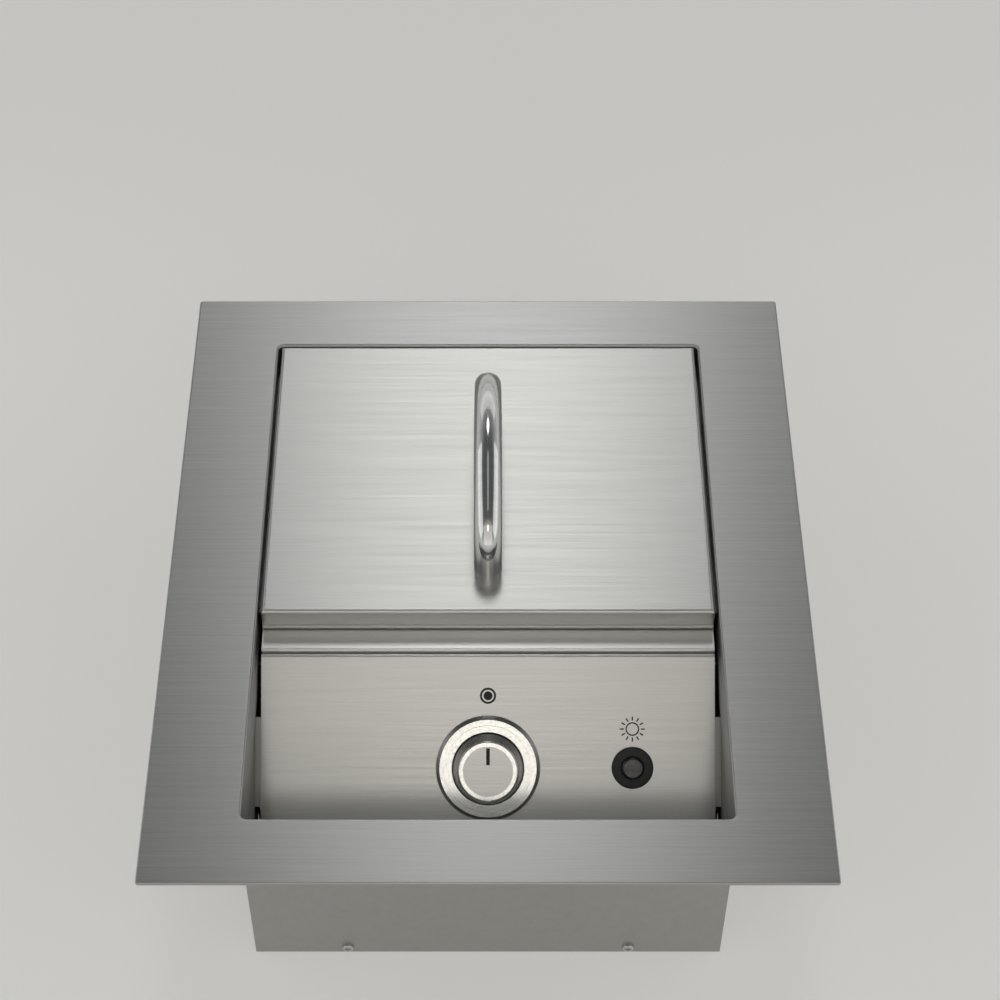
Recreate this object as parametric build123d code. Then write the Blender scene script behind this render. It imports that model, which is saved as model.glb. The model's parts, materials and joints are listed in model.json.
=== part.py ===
from build123d import *
import math
import os

# Drop-in infrared burner for an outdoor kitchen counter: a flat steel frame with a lift-off cover,
# a ceramic tile burner under the cover, and a sunken control pocket in front of it.
# Millimetres. +X is right, +Y is rear, +Z is up. The origin is under the middle of the frame,
# on the plane that the box stands on.

# Sheet gauges
FRAME_SHEET = 1.5
WALL_SHEET = 1.2
PANEL_SHEET = 1.5
LEDGE_SHEET = 1.2
RAIL_SHEET = 1.2
LID_SHEET = 1.2
DECK_SHEET = 1.2
DIVIDER_SHEET = 1.2
PLENUM_SHEET = 1.0
BRACKET_SHEET = 1.2

# Top frame
FRAME_TOP = 165.0
SIDE_MARGIN = 62.0
END_MARGIN = 47.0
FRAME_CORNER = 2.0
HEM_WIDTH = 12.0
HEM_FOLD = 1.2
OPENING_CORNER = 3.5
OPENING_BEND = 2.0
COLLAR_DEPTH = 35.0

# Lift-off cover
LID_WIDTH = 305.0
LID_DEPTH = 246.5
LID_SIDE_GAP = 2.5
LID_REAR_GAP = 1.0
LID_SIDE_BEND = 2.2
LID_FRONT_BEND = 2.4
LID_HEM_HEIGHT = 2.8
LID_RETURN = 12.0
LID_RETURN_SETBACK = 14.0
PAD_RADIUS = 4.5
PAD_HEIGHT = 1.0
PAD_STEM_RADIUS = 2.0
PAD_BUTTON_RADIUS = 3.5
PAD_BUTTON_HEIGHT = 1.5
PAD_SETBACK = 24.0

# Cover handle
HANDLE_DIAMETER = 19.0
HANDLE_WALL = 1.5
HANDLE_SPACING = 149.0
HANDLE_HEIGHT = 62.0
HANDLE_LEG = 10.5
HANDLE_BEND = 25.5
HANDLE_SETBACK = 30.0
HANDLE_PLATE_WIDTH = 36.0
HANDLE_PLATE_END = 20.0
HANDLE_PLATE_SHEET = 1.5
HANDLE_SCREW_RADIUS = 3.0
HANDLE_SCREW_GRIP = 9.0

# Ledges that carry the cover
LEDGE_DROP = 18.0
LEDGE_SHOWN = 18.5
LEDGE_UNDER = 13.0
LEDGE_FLANGE = 18.0
LEDGE_RETURN = 8.0
LEDGE_BEND = 0.5
RAIL_WIDTH = 16.0
RAIL_DROP = 18.0

# Control pocket
PANEL_TILT = 38.0
PANEL_SLOPE = 122.0
PANEL_TROUGH = 8.0
PANEL_BEND = 0.8
RISER_ANGLE = 58.0
RISER_FLANGE = 16.0
DRAIN_LENGTH = 26.0
DRAIN_WIDTH = 4.0
DRAIN_SPACING = 90.0
BRACKET_START = 45.0
BRACKET_LENGTH = 60.0
BRACKET_FLANGE = 18.0
BRACKET_WEB = 24.0
BRACKET_INSET = 14.0

# Burner deck, plenum and tiles
DECK_TOP = 98.0
DECK_FLANGE = 15.0
TILE_WIDTH = 112.0
TILE_DEPTH = 156.0
TILE_THICKNESS = 13.0
TILE_GAP = 2.0
TILE_LIP = 4.0
GASKET_THICKNESS = 2.0
PLENUM_FLANGE = 14.0
PLENUM_STEP = 10.0
PLENUM_DEPTH = 36.0
BAFFLE_RISE = 20.0
BAFFLE_WIDTH = 130.0
BAFFLE_DEPTH = 80.0
BAFFLE_SHEET = 1.0

# Gas line
GAS_LINE_Z = 63.0
SUPPLY_INSET = 18.5
SUPPLY_DIAMETER = 10.0
SUPPLY_BEND = 30.0
FEED_DIAMETER = 8.0
FEED_BEND = 9.0
TUBE_WALL = 1.0
SOCKET_DEPTH = 5.0
TUBE_NUT_FLATS = 16.0
TUBE_NUT_LENGTH = 9.0
INLET_THREAD_RADIUS = 7.9
INLET_THREAD_LENGTH = 18.0
INLET_FLATS = 22.0
INLET_HEX_LENGTH = 6.0
INLET_INNER_LENGTH = 12.0
INLET_BORE_RADIUS = 3.5

# Air mixer and its shutter
MIXER_X = 55.0
MIXER_RADIUS = 15.0
MIXER_WALL = 1.2
MIXER_REACH = 10.0
MIXER_SPIGOT = 3.0
MIXER_COLLAR = 2.2
CUP_RADIUS = 22.0
CUP_LENGTH = 8.0
HUB_RADIUS = 9.0
HUB_LIP = 1.5
HUB_LIP_LENGTH = 1.0
SHUTTER_THICKNESS = 1.0
SHUTTER_TAB = 6.0
SHUTTER_TAB_WIDTH = 8.0
WINDOW_RADIUS = 4.4
WINDOW_COUNT = 3
ORIFICE_RADIUS = 6.0
ORIFICE_FLATS = 14.0
ORIFICE_HEX_LENGTH = 7.0
ORIFICE_NOSE = 6.0
ORIFICE_JET_RADIUS = 0.9

# Gas valve
KNOB_SLOPE = 78.9
VALVE_WIDTH = 28.0
VALVE_EDGE = 4.0
VALVE_TAIL = 13.0
VALVE_BOSS_RADIUS = 9.0
VALVE_BOSS_LENGTH = 8.0
VALVE_BORE_RADIUS = 8.5
BONNET_WIDTH = 48.0
BONNET_DEPTH = 26.0
BONNET_THICKNESS = 4.0
BONNET_SCREW_SIDE = 15.0
BONNET_CORNER = 4.0
PLUG_HALF_LENGTH = 9.5
PORT_RADIUS = 2.6
STEM_RADIUS = 4.0
STEM_FLAT = 1.2
TANG_THICKNESS = 3.0
TANG_WIDTH = 6.4
TANG_LENGTH = 11.0
WASHER_RADIUS = 7.6
WASHER_THICKNESS = 1.5
STEM_SPRING_RADIUS = 6.0
STEM_SPRING_WIRE = 1.0
STEM_SPRING_TURNS = 6

# Knob and its bezel
BEZEL_RADIUS = 35.0
BEZEL_GROOVE_RADIUS = 29.0
BEZEL_GROOVE = 0.8
BEZEL_HEIGHT = 7.0
BEZEL_EDGE = 2.5
KNOB_RADIUS = 24.0
KNOB_FACE_RADIUS = 20.0
KNOB_HEIGHT = 26.0
KNOB_LIFT = 5.3
KNOB_TRAVEL = 4.0
KNOB_WALL = 2.2
KNOB_BOSS_RADIUS = 7.5
KNOB_EDGE = 1.2
KNOB_CAP_RADIUS = 16.5
KNOB_CAP_THICKNESS = 1.2
POINTER_WIDTH = 2.4
POINTER_LENGTH = 11.0
POINTER_RISE = 0.5
STEM_REACH = 18.0
INSERT_RADIUS = 5.6

# Igniter
BUTTON_INSET = 55.5
IGNITER_RADIUS = 10.0
IGNITER_COLLAR_RADIUS = 14.0
IGNITER_COLLAR_HEIGHT = 2.5
IGNITER_WALL_END = 4.0
IGNITER_NUT_FLATS = 26.0
IGNITER_NUT_LENGTH = 5.0
TERMINAL_RADIUS = 2.5
TERMINAL_LENGTH = 6.0
BUTTON_RADIUS = 7.5
BUTTON_PROUD = 6.5
BUTTON_LENGTH = 11.0
BUTTON_EDGE = 1.5
BUTTON_TRAVEL = 4.0
BATTERY_RADIUS = 5.25
BATTERY_LENGTH = 44.5
BUTTON_SPRING_RADIUS = 4.0
BUTTON_SPRING_WIRE = 0.7
BUTTON_SPRING_SOLID = 4.5
BUTTON_SPRING_TURNS = 4
ELECTRODE_GAP = 11.5
INSULATOR_RADIUS = 3.5
INSULATOR_ABOVE = 14.0
INSULATOR_BELOW = 22.0
INSULATOR_COLLAR_RADIUS = 7.0
INSULATOR_COLLAR_HEIGHT = 3.0
WIRE_RADIUS = 1.1
WIRE_RISE = 8.0
WIRE_REACH = 44.0
WIRE_TIP = 12.0
WIRE_BEND = 5.0
LEAD_RADIUS = 2.3
LEAD_STRAIGHT = 14.0
GROMMET_RADIUS = 6.0
GROMMET_LENGTH = 5.0
GROMMET_LIP = 1.8

# Cooking grid
GRID_TOP = 143.0
GRID_ROD_RADIUS = 4.0
GRID_BAR_RADIUS = 4.0
GRID_WELD = 0.8
GRID_PITCH = 19.0
GRID_EDGE_GAP = 3.0
GRID_BAR_SPACING = 120.0
GRID_SEAT_GAP = 0.3
POST_RADIUS = 6.0
POST_SETBACK = 9.0
POST_CHEEK = 3.5

# Floor
FLOOR_SHEET = 1.2
FLOOR_FLANGE = 12.0
SLOT_LENGTH = 60.0
SLOT_WIDTH = 6.0
SLOT_PITCH = 22.0
SLOT_COUNT = 5

# Side walls and divider
VENT_COUNT = 5
VENT_LENGTH = 40.0
VENT_WIDTH = 5.0
VENT_PITCH = 14.0
VENT_SETBACK = 28.0
VENT_Z = 40.0
FIXING_RADIUS = 2.75
FIXING_SPACING = 160.0
FIXING_Z = 40.0
DIVIDER_TAB = 14.0

# Fasteners
SCREW_RADIUS = 2.0
SCREW_HEAD_RADIUS = 4.0
SCREW_HEAD_HEIGHT = 2.2
SCREW_LENGTH = 6.5
BURNER_SCREW_LENGTH = 10.0
SCREW_SPACING = 95.0
FRAME_LINE = 9.0
PANEL_SCREW_DROP = 12.5
HOLE_REACH = 7.0
CROSS_WIDTH = 1.0
CROSS_DEPTH = 1.0
NUT_FLATS = 7.0
NUT_LENGTH = 3.2

# Clearances
SCREW_CLEARANCE = 0.15
THREAD_CLEARANCE = 0.05
TUBE_CLEARANCE = 0.05
RUNNING_CLEARANCE = 0.05
TILE_CLEARANCE = 0.5
MOVING_CLEARANCE = 0.4
PASS_CLEARANCE = 0.8

# Main planes, worked out from the values above
lid_half = LID_WIDTH / 2
opening_half = lid_half + LID_SIDE_GAP
frame_half = opening_half + SIDE_MARGIN
box_half = opening_half + FRAME_SHEET
ledge_top = FRAME_TOP - LEDGE_DROP
collar_bottom = FRAME_TOP - COLLAR_DEPTH
frame_under = FRAME_TOP - FRAME_SHEET
slope_run = PANEL_SLOPE * math.cos(math.radians(PANEL_TILT))
slope_drop = PANEL_SLOPE * math.sin(math.radians(PANEL_TILT))
trough_z = ledge_top - slope_drop
riser_foot = collar_bottom + PANEL_BEND + PANEL_SHEET
riser_run = (riser_foot - trough_z) / math.tan(math.radians(RISER_ANGLE))
lid_span = LID_REAR_GAP + LID_DEPTH + LEDGE_SHOWN
opening_depth = lid_span + slope_run + PANEL_TROUGH + riser_run + PANEL_SHEET
opening_rear = opening_depth / 2
opening_front = -opening_depth / 2
frame_depth = opening_depth + 2 * END_MARGIN
box_rear = opening_rear + FRAME_SHEET
box_front = opening_front - FRAME_SHEET
supply_x = SUPPLY_INSET - box_half
button_x = lid_half - BUTTON_INSET
lid_rear = opening_rear - LID_REAR_GAP
lid_front = lid_rear - LID_DEPTH
lid_bottom = ledge_top + PAD_HEIGHT
panel_top = lid_front - LEDGE_SHOWN
ledge_rear = lid_front + LEDGE_UNDER
divider_front = panel_top + LEDGE_SHEET
divider_rear = divider_front + DIVIDER_SHEET
chamber_y = (divider_rear + box_rear) / 2
tile_top = DECK_TOP - DECK_SHEET - GASKET_THICKNESS
tile_bottom = tile_top - TILE_THICKNESS
pocket_half_x = TILE_WIDTH + TILE_GAP / 2 + TILE_CLEARANCE
pocket_half_y = TILE_DEPTH / 2 + TILE_CLEARANCE
pan_half_x = pocket_half_x - PLENUM_STEP
pan_half_y = pocket_half_y - PLENUM_STEP
pan_floor = tile_bottom - PLENUM_DEPTH
flange_half_x = pocket_half_x + PLENUM_SHEET + PLENUM_FLANGE
flange_half_y = pocket_half_y + PLENUM_SHEET + PLENUM_FLANGE
window_half_x = TILE_WIDTH + TILE_GAP / 2 - TILE_LIP
window_half_y = TILE_DEPTH / 2 - TILE_LIP
pan_front = chamber_y - pan_half_y - PLENUM_SHEET

# The control panel's own plane: x to the right, y up the slope, z out of the panel
panel_lean = math.radians(PANEL_TILT)
panel_normal = (0, -math.sin(panel_lean), math.cos(panel_lean))
panel_plane = Plane(origin=(0, panel_top, ledge_top), x_dir=(1, 0, 0), z_dir=panel_normal)
knob_y = panel_top - KNOB_SLOPE * math.cos(panel_lean)
knob_z = ledge_top - KNOB_SLOPE * math.sin(panel_lean)
port_depth = (knob_z - GAS_LINE_Z) / math.cos(panel_lean)
port_y = knob_y + port_depth * math.sin(panel_lean)
bonnet_bottom = -PANEL_SHEET - BONNET_THICKNESS
plug_top = -port_depth + PLUG_HALF_LENGTH
plug_bottom = -port_depth - PLUG_HALF_LENGTH
valve_bottom = -port_depth - VALVE_TAIL
boss_end = VALVE_WIDTH / 2 + VALVE_BOSS_LENGTH
mouth_y = divider_front - MIXER_REACH
hub_end = mouth_y - 2 * MOVING_CLEARANCE - SHUTTER_THICKNESS - HUB_LIP_LENGTH
tang_end = plug_top - TANG_LENGTH
button_bottom = BUTTON_PROUD - BUTTON_LENGTH
battery_top = button_bottom - BUTTON_TRAVEL - BUTTON_SPRING_SOLID
battery_bottom = battery_top - BATTERY_LENGTH
igniter_bottom = battery_bottom - IGNITER_WALL_END
electrode_y = chamber_y - flange_half_y - ELECTRODE_GAP
lead_drop = TERMINAL_LENGTH + LEAD_STRAIGHT - igniter_bottom
lead_z = knob_z - lead_drop * math.cos(panel_lean)

# Heights of the screw lines on the box
frame_line = collar_bottom + FRAME_LINE
deck_line = DECK_TOP - DECK_FLANGE / 2
floor_line = FLOOR_FLANGE - SCREW_HEAD_RADIUS - FLOOR_SHEET
tab_line = (FLOOR_FLANGE + collar_bottom) / 2

# Handle places on the cover
handle_radius = HANDLE_DIAMETER / 2
handle_front = lid_front + HANDLE_SETBACK + handle_radius
handle_feet = [handle_front, handle_front + HANDLE_SPACING]
handle_run = HANDLE_SPACING / 2 - HANDLE_BEND
handle_rise = HANDLE_HEIGHT - handle_radius - HANDLE_LEG - HANDLE_BEND
grip_half_turn = 2 * math.atan(handle_rise / handle_run)
grip_bend = HANDLE_BEND + handle_run / math.sin(grip_half_turn)

# Cooking grid places
grid_front = ledge_rear + GRID_EDGE_GAP
grid_rear = opening_rear - RAIL_WIDTH - GRID_EDGE_GAP
grid_y = (grid_front + grid_rear) / 2
grid_half_x = opening_half - RAIL_WIDTH - GRID_EDGE_GAP
bar_z = GRID_TOP - 2 * GRID_ROD_RADIUS + GRID_WELD - GRID_BAR_RADIUS
post_x = grid_half_x - POST_SETBACK
bar_places = [grid_y - GRID_BAR_SPACING / 2, grid_y + GRID_BAR_SPACING / 2]


def block(x0, x1, y0, y1, z0, z1):
    middle = Pos((x0 + x1) / 2, (y0 + y1) / 2, (z0 + z1) / 2)
    return middle * Box(x1 - x0, y1 - y0, z1 - z0)


def slab(half_x, y0, y1, corner, z0, z1):
    outline = RectangleRounded(2 * half_x, y1 - y0, corner)
    return Pos(0, (y0 + y1) / 2, z0) * extrude(outline, z1 - z0)


def rod_z(radius, z0, z1, x=0, y=0):
    return Pos(x, y, (z0 + z1) / 2) * Cylinder(radius, z1 - z0)


def rod_y(radius, y0, y1, x, z):
    return Pos(x, (y0 + y1) / 2, z) * Rot(90, 0, 0) * Cylinder(radius, y1 - y0)


def rod_x(radius, x0, x1, y, z):
    return Pos((x0 + x1) / 2, y, z) * Rot(0, 90, 0) * Cylinder(radius, x1 - x0)


def hexagon(flats, length):
    outline = RegularPolygon(flats / 2, 6, major_radius=False)
    return extrude(outline, length)


def at_panel(x, slope, shape):
    return panel_plane * Pos(x, -slope, 0) * shape


def panel_point(x, slope, height):
    place = panel_plane * Pos(x, -slope, height)
    return place.position


def group(shapes):
    return Compound(children=list(shapes))


def bend_offset(points, distance):
    """Points of the path moved to its left by a distance, mitred at the corners."""
    normals = []
    for (y0, z0), (y1, z1) in zip(points, points[1:]):
        length = math.hypot(y1 - y0, z1 - z0)
        normals.append(((z0 - z1) / length, (y1 - y0) / length))
    before = [normals[0]] + normals
    after = normals + [normals[-1]]
    moved = []
    for (y, z), (ny, nz), (my, mz) in zip(points, before, after):
        share = distance / (1 + ny * my + nz * mz)
        moved.append((y + (ny + my) * share, z + (nz + mz) * share))
    return moved


def bent_sheet(points, sheet, bend, half_width):
    """A folded sheet: its face follows points in Y and Z, its thickness lies to their left."""
    face_radii = []
    back_radii = []
    for (y0, z0), (y1, z1), (y2, z2) in zip(points, points[1:], points[2:]):
        turn = (y1 - y0) * (z2 - z1) - (z1 - z0) * (y2 - y1)
        face_radii.append(bend + sheet if turn > 0 else bend)
        back_radii.append(bend if turn > 0 else bend + sheet)
    face_points = [(0, y, z) for y, z in points]
    back_points = [(0, y, z) for y, z in bend_offset(points, sheet)]
    face_line = FilletPolyline(*face_points, radius=face_radii)
    back_line = FilletPolyline(*back_points, radius=back_radii)
    ends = [
        Line(face_points[0], back_points[0]),
        Line(face_points[-1], back_points[-1]),
    ]
    edges = face_line.edges() + back_line.edges() + ends
    return extrude(make_face(edges), half_width, dir=(1, 0, 0), both=True)


def tube_on(path, radius, wall):
    """A tube, or a solid wire when wall is None, on a path."""
    section = Circle(radius)
    if wall is not None:
        section -= Circle(radius - wall)
    start = Plane(origin=path @ 0, z_dir=path % 0)
    return sweep(start * section, path)


def tube_along(points, radii, radius, wall):
    """A tube or wire along straight runs and tangent arcs."""
    return tube_on(FilletPolyline(*points, radius=radii), radius, wall)


def spring(radius, wire, length, turns):
    """A coil along +Z from 0 to length, made of quarter-turn arcs."""
    quarters = 4 * turns
    rise = length - 2 * wire

    def helix_point(step):
        angle = step * math.pi / 2
        height = wire + rise * step / quarters
        return (radius * math.cos(angle), radius * math.sin(angle), height)

    arcs = []
    for step in range(quarters):
        arcs.append(ThreePointArc(helix_point(step), helix_point(step + 0.5), helix_point(step + 1)))
    path = Wire([arc.edge() for arc in arcs])
    return tube_on(path, wire / 2, None)


def pan_screw(radius, length):
    """A cross-head screw: the seat of its head is at 0 and its shank goes down -Z."""
    head = Cylinder(radius * SCREW_HEAD_RADIUS / SCREW_RADIUS, SCREW_HEAD_HEIGHT)
    head = Pos(0, 0, SCREW_HEAD_HEIGHT / 2) * head
    rim = head.edges().group_by(Axis.Z)[-1]
    head = fillet(rim, SCREW_HEAD_HEIGHT / 2)
    arm = 2 * radius
    cross = Box(arm, CROSS_WIDTH, 2 * CROSS_DEPTH) + Box(CROSS_WIDTH, arm, 2 * CROSS_DEPTH)
    head -= Pos(0, 0, SCREW_HEAD_HEIGHT) * cross
    return head + rod_z(radius, -length, 0)


def side_seat(side, y, z):
    return Plane(origin=(side * (box_half + WALL_SHEET), y, z), x_dir=(0, 1, 0), z_dir=(side, 0, 0))


def end_seat(end, x, z):
    outer = box_rear + WALL_SHEET if end > 0 else box_front - WALL_SHEET
    return Plane(origin=(x, outer, z), x_dir=(1, 0, 0), z_dir=(0, end, 0))


def frame_seats():
    """Screw seats where the walls, the frame's collar and the rails or the panel join."""
    lid_y = (lid_front + lid_rear) / 2
    seats = []
    for side in (-1, 1):
        for step in (-1, 0, 1):
            seats.append(side_seat(side, lid_y + step * SCREW_SPACING, frame_line))
            seats.append(end_seat(side, step * SCREW_SPACING, frame_line))
    return seats


def deck_seats():
    seats = []
    for side in (-1, 1):
        for step in (-1, 1):
            seats.append(side_seat(side, chamber_y + step * SCREW_SPACING, deck_line))
        seats.append(end_seat(1, side * SCREW_SPACING, deck_line))
    return seats


def floor_seats():
    seats = []
    for side in (-1, 1):
        for step in (-1, 1):
            seats.append(side_seat(side, step * SCREW_SPACING, floor_line))
            seats.append(end_seat(side, step * SCREW_SPACING, floor_line))
    return seats


def tab_seats():
    """Seats on the side walls for the divider's tabs and for the panel's brackets."""
    seats = []
    web_drop = PANEL_SHEET + BRACKET_SHEET + BRACKET_WEB / 2
    for side in (-1, 1):
        seats.append(side_seat(side, divider_front - DIVIDER_TAB / 2, tab_line))
        for slope in (BRACKET_START + BRACKET_INSET, BRACKET_START + BRACKET_LENGTH - BRACKET_INSET):
            spot = panel_point(0, slope, -web_drop)
            seats.append(side_seat(side, spot.Y, spot.Z))
    return seats


def panel_seats():
    """Seats on the panel's top flange, whose screws go back through the ledge and the divider."""
    seats = []
    for step in (-1, 0, 1):
        spot = (step * SCREW_SPACING, panel_top - PANEL_SHEET, ledge_top - PANEL_SCREW_DROP)
        seats.append(Plane(origin=spot, x_dir=(1, 0, 0), z_dir=(0, -1, 0)))
    return seats


def burner_seats():
    seats = []
    reach_x = pocket_half_x + PLENUM_SHEET + PLENUM_FLANGE / 2
    reach_y = pocket_half_y + PLENUM_SHEET + PLENUM_FLANGE / 2
    for side in (-1, 1):
        for end in (-1, 1):
            seats.append(Plane(origin=(side * reach_x, chamber_y + end * reach_y, DECK_TOP)))
    return seats


def wall_seats():
    return frame_seats() + deck_seats() + floor_seats() + tab_seats()


def drill(part, seats):
    """Screw holes through the sheets that lie under the given seats."""
    hole = Pos(0, 0, -HOLE_REACH / 2) * Cylinder(SCREW_RADIUS + SCREW_CLEARANCE, HOLE_REACH)
    for seat in seats:
        part -= seat * hole
    return part


def screws(seats, length):
    screw = pan_screw(SCREW_RADIUS, length)
    return group([seat * screw for seat in seats])


# Frame and box

def top_frame():
    plate = slab(frame_half, -frame_depth / 2, frame_depth / 2, FRAME_CORNER, frame_under, FRAME_TOP)
    hem_inner = frame_half - HEM_WIDTH
    hem_end = frame_depth / 2 - HEM_WIDTH
    hem_bottom = frame_under - FRAME_SHEET
    hem = slab(frame_half, -frame_depth / 2, frame_depth / 2, FRAME_CORNER, hem_bottom, frame_under)
    hem -= slab(hem_inner, -hem_end, hem_end, FRAME_CORNER, hem_bottom, frame_under)
    collar_corner = OPENING_CORNER + FRAME_SHEET
    collar = slab(box_half, box_front, box_rear, collar_corner, collar_bottom, frame_under)
    hole = slab(opening_half, opening_front, opening_rear, OPENING_CORNER, collar_bottom, FRAME_TOP)
    frame = plate + hem
    folds = [edge for edge in frame.edges().group_by(Axis.Z)[-1] if not on_opening(edge)]
    folds += [edge for edge in frame.edges().group_by(Axis.Z)[0] if on_rim(edge)]
    frame = fillet(folds, HEM_FOLD) + collar - hole
    rim = [edge for edge in frame.edges().group_by(Axis.Z)[-1] if on_opening(edge)]
    frame = fillet(rim, OPENING_BEND)
    return drill(frame, frame_seats())


def on_opening(edge):
    spot = edge.center()
    return abs(spot.X) < box_half and abs(spot.Y) < box_rear


def on_rim(edge):
    spot = edge.center()
    inner_half = frame_half - HEM_WIDTH / 2
    inner_end = (frame_depth - HEM_WIDTH) / 2
    return abs(spot.X) > inner_half or abs(spot.Y) > inner_end


def side_wall(side):
    inner = side * box_half
    outer = side * (box_half + WALL_SHEET)
    wall = block(min(inner, outer), max(inner, outer), box_front, box_rear, 0, frame_under)
    slot = Rot(0, 90, 0) * extrude(SlotOverall(VENT_LENGTH, VENT_WIDTH), 2 * WALL_SHEET, both=True)
    for step in range(VENT_COUNT):
        place = box_front + VENT_SETBACK + step * VENT_PITCH
        wall -= Pos(inner, place, VENT_Z) * slot
    hole = Rot(0, 90, 0) * Cylinder(FIXING_RADIUS, 4 * WALL_SHEET)
    for end in (-1, 1):
        wall -= Pos(inner, end * FIXING_SPACING / 2, FIXING_Z) * hole
    return drill(wall, [seat for seat in wall_seats() if seat.origin.X * side > box_half])


def end_wall(end):
    inner = box_rear if end > 0 else box_front
    outer = inner + end * WALL_SHEET
    reach = box_half + WALL_SHEET
    wall = block(-reach, reach, min(inner, outer), max(inner, outer), 0, frame_under)
    if end > 0:
        inlet = INLET_THREAD_RADIUS + PASS_CLEARANCE / 2
        wall -= rod_y(inlet, inner - WALL_SHEET, outer + WALL_SHEET, supply_x, GAS_LINE_Z)
    return drill(wall, [seat for seat in wall_seats() if seat.origin.Y * end > abs(inner)])


def floor_plate():
    plate = block(-box_half, box_half, box_front, box_rear, 0, FLOOR_SHEET)
    outer = block(-box_half, box_half, box_front, box_rear, FLOOR_SHEET, FLOOR_FLANGE)
    inner_half = box_half - FLOOR_SHEET
    inner_rear = box_rear - FLOOR_SHEET
    inner_front = box_front + FLOOR_SHEET
    flanges = outer - block(-inner_half, inner_half, inner_front, inner_rear, FLOOR_SHEET, FLOOR_FLANGE)
    floor = plate + flanges
    slot = extrude(SlotOverall(SLOT_LENGTH, SLOT_WIDTH), 2 * FLOOR_SHEET, both=True)
    for side in (-1, 1):
        for step in range(SLOT_COUNT):
            place = chamber_y + (step - (SLOT_COUNT - 1) / 2) * SLOT_PITCH
            floor -= Pos(side * SLOT_LENGTH, place, 0) * slot
    return drill(floor, floor_seats())


def divider():
    """Heat shield between the fire chamber and the controls, carried by tabs on the side walls."""
    low = FLOOR_FLANGE + PASS_CLEARANCE
    shoulder = collar_bottom - PASS_CLEARANCE
    plate = block(-box_half, box_half, divider_front, divider_rear, low, shoulder)
    crest = ledge_top - LEDGE_SHEET - LEDGE_BEND
    plate += block(-lid_half, lid_half, divider_front, divider_rear, shoulder, crest)
    tab_low = tab_line - DIVIDER_TAB / 2
    for side in (-1, 1):
        inner = side * (box_half - DIVIDER_SHEET)
        outer = side * box_half
        span = (min(inner, outer), max(inner, outer))
        plate += block(*span, divider_front - DIVIDER_TAB, divider_front, tab_low, tab_low + DIVIDER_TAB)
    front = divider_front - DIVIDER_SHEET
    rear = divider_rear + DIVIDER_SHEET
    plate -= rod_y(MIXER_RADIUS + PASS_CLEARANCE, front, rear, MIXER_X, GAS_LINE_Z)
    plate -= rod_y(SUPPLY_DIAMETER / 2 + PASS_CLEARANCE, front, rear, supply_x, GAS_LINE_Z)
    plate -= rod_y(GROMMET_RADIUS - GROMMET_LIP, front, rear, button_x, lead_z)
    return drill(drill(plate, tab_seats()), panel_seats())


def front_ledge():
    points = [
        (panel_top, ledge_top - LEDGE_FLANGE),
        (panel_top, ledge_top),
        (ledge_rear, ledge_top),
        (ledge_rear, ledge_top - LEDGE_RETURN),
    ]
    ledge = bent_sheet(list(reversed(points)), LEDGE_SHEET, LEDGE_BEND, lid_half)
    return drill(ledge, panel_seats())


def lid_rails():
    """Angles inside the collar, on which the cover's pads rest."""
    low = ledge_top - RAIL_DROP
    inner = opening_half - RAIL_WIDTH
    side_end = opening_rear - OPENING_CORNER
    rails = []
    for side in (-1, 1):
        shelf = block(inner, opening_half, ledge_rear, side_end, ledge_top - RAIL_SHEET, ledge_top)
        web = block(opening_half - RAIL_SHEET, opening_half, ledge_rear, side_end, low, ledge_top)
        rail = shelf + web
        rails.append(rail if side > 0 else mirror(rail, about=Plane.YZ))
    shelf = block(-inner, inner, opening_rear - RAIL_WIDTH, opening_rear, ledge_top - RAIL_SHEET, ledge_top)
    web = block(-inner, inner, opening_rear - RAIL_SHEET, opening_rear, low, ledge_top)
    rails.append(shelf + web)
    return group([drill(rail, frame_seats()) for rail in rails])


# Control pocket

def control_panel():
    slope_end = panel_top - slope_run
    trough_end = slope_end - PANEL_TROUGH
    face = opening_front + PANEL_SHEET
    points = [
        (panel_top, ledge_top - LEDGE_FLANGE),
        (panel_top, ledge_top),
        (slope_end, trough_z),
        (trough_end, trough_z),
        (face, riser_foot),
        (face, riser_foot + RISER_FLANGE),
    ]
    panel = bent_sheet(points, PANEL_SHEET, PANEL_BEND, lid_half)
    corner = opening_half - OPENING_CORNER
    for span in ((corner, opening_half), (-opening_half, -corner)):
        panel -= block(*span, opening_front, opening_front + OPENING_CORNER, trough_z, FRAME_TOP)
    drain = extrude(SlotOverall(DRAIN_LENGTH, DRAIN_WIDTH), 2 * PANEL_SHEET, both=True)
    for step in (-1, 0, 1):
        panel -= Pos(step * DRAIN_SPACING, (slope_end + trough_end) / 2, trough_z) * drain
    through = 4 * PANEL_SHEET
    panel -= at_panel(0, KNOB_SLOPE, Cylinder(STEM_RADIUS + PASS_CLEARANCE, through))
    for side in (-1, 1):
        hole = Pos(side * BONNET_SCREW_SIDE, 0, 0) * Cylinder(SCREW_RADIUS + SCREW_CLEARANCE, through)
        panel -= at_panel(0, KNOB_SLOPE, hole)
    panel -= at_panel(button_x, KNOB_SLOPE, Cylinder(IGNITER_RADIUS + SCREW_CLEARANCE, through))
    return drill(drill(panel, panel_seats()), frame_seats())


def panel_brackets():
    """Angle brackets that carry the panel's sides on the side walls."""
    top = -PANEL_SHEET
    low = top - BRACKET_SHEET
    start = -BRACKET_START - BRACKET_LENGTH
    shelf = block(lid_half - BRACKET_FLANGE, box_half, start, -BRACKET_START, low, top)
    web = block(box_half - BRACKET_SHEET, box_half, start, -BRACKET_START, low - BRACKET_WEB, low)
    right = panel_plane * (shelf + web)
    right = drill(right, tab_seats())
    return group([right, mirror(right, about=Plane.YZ)])


# Burner

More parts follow.
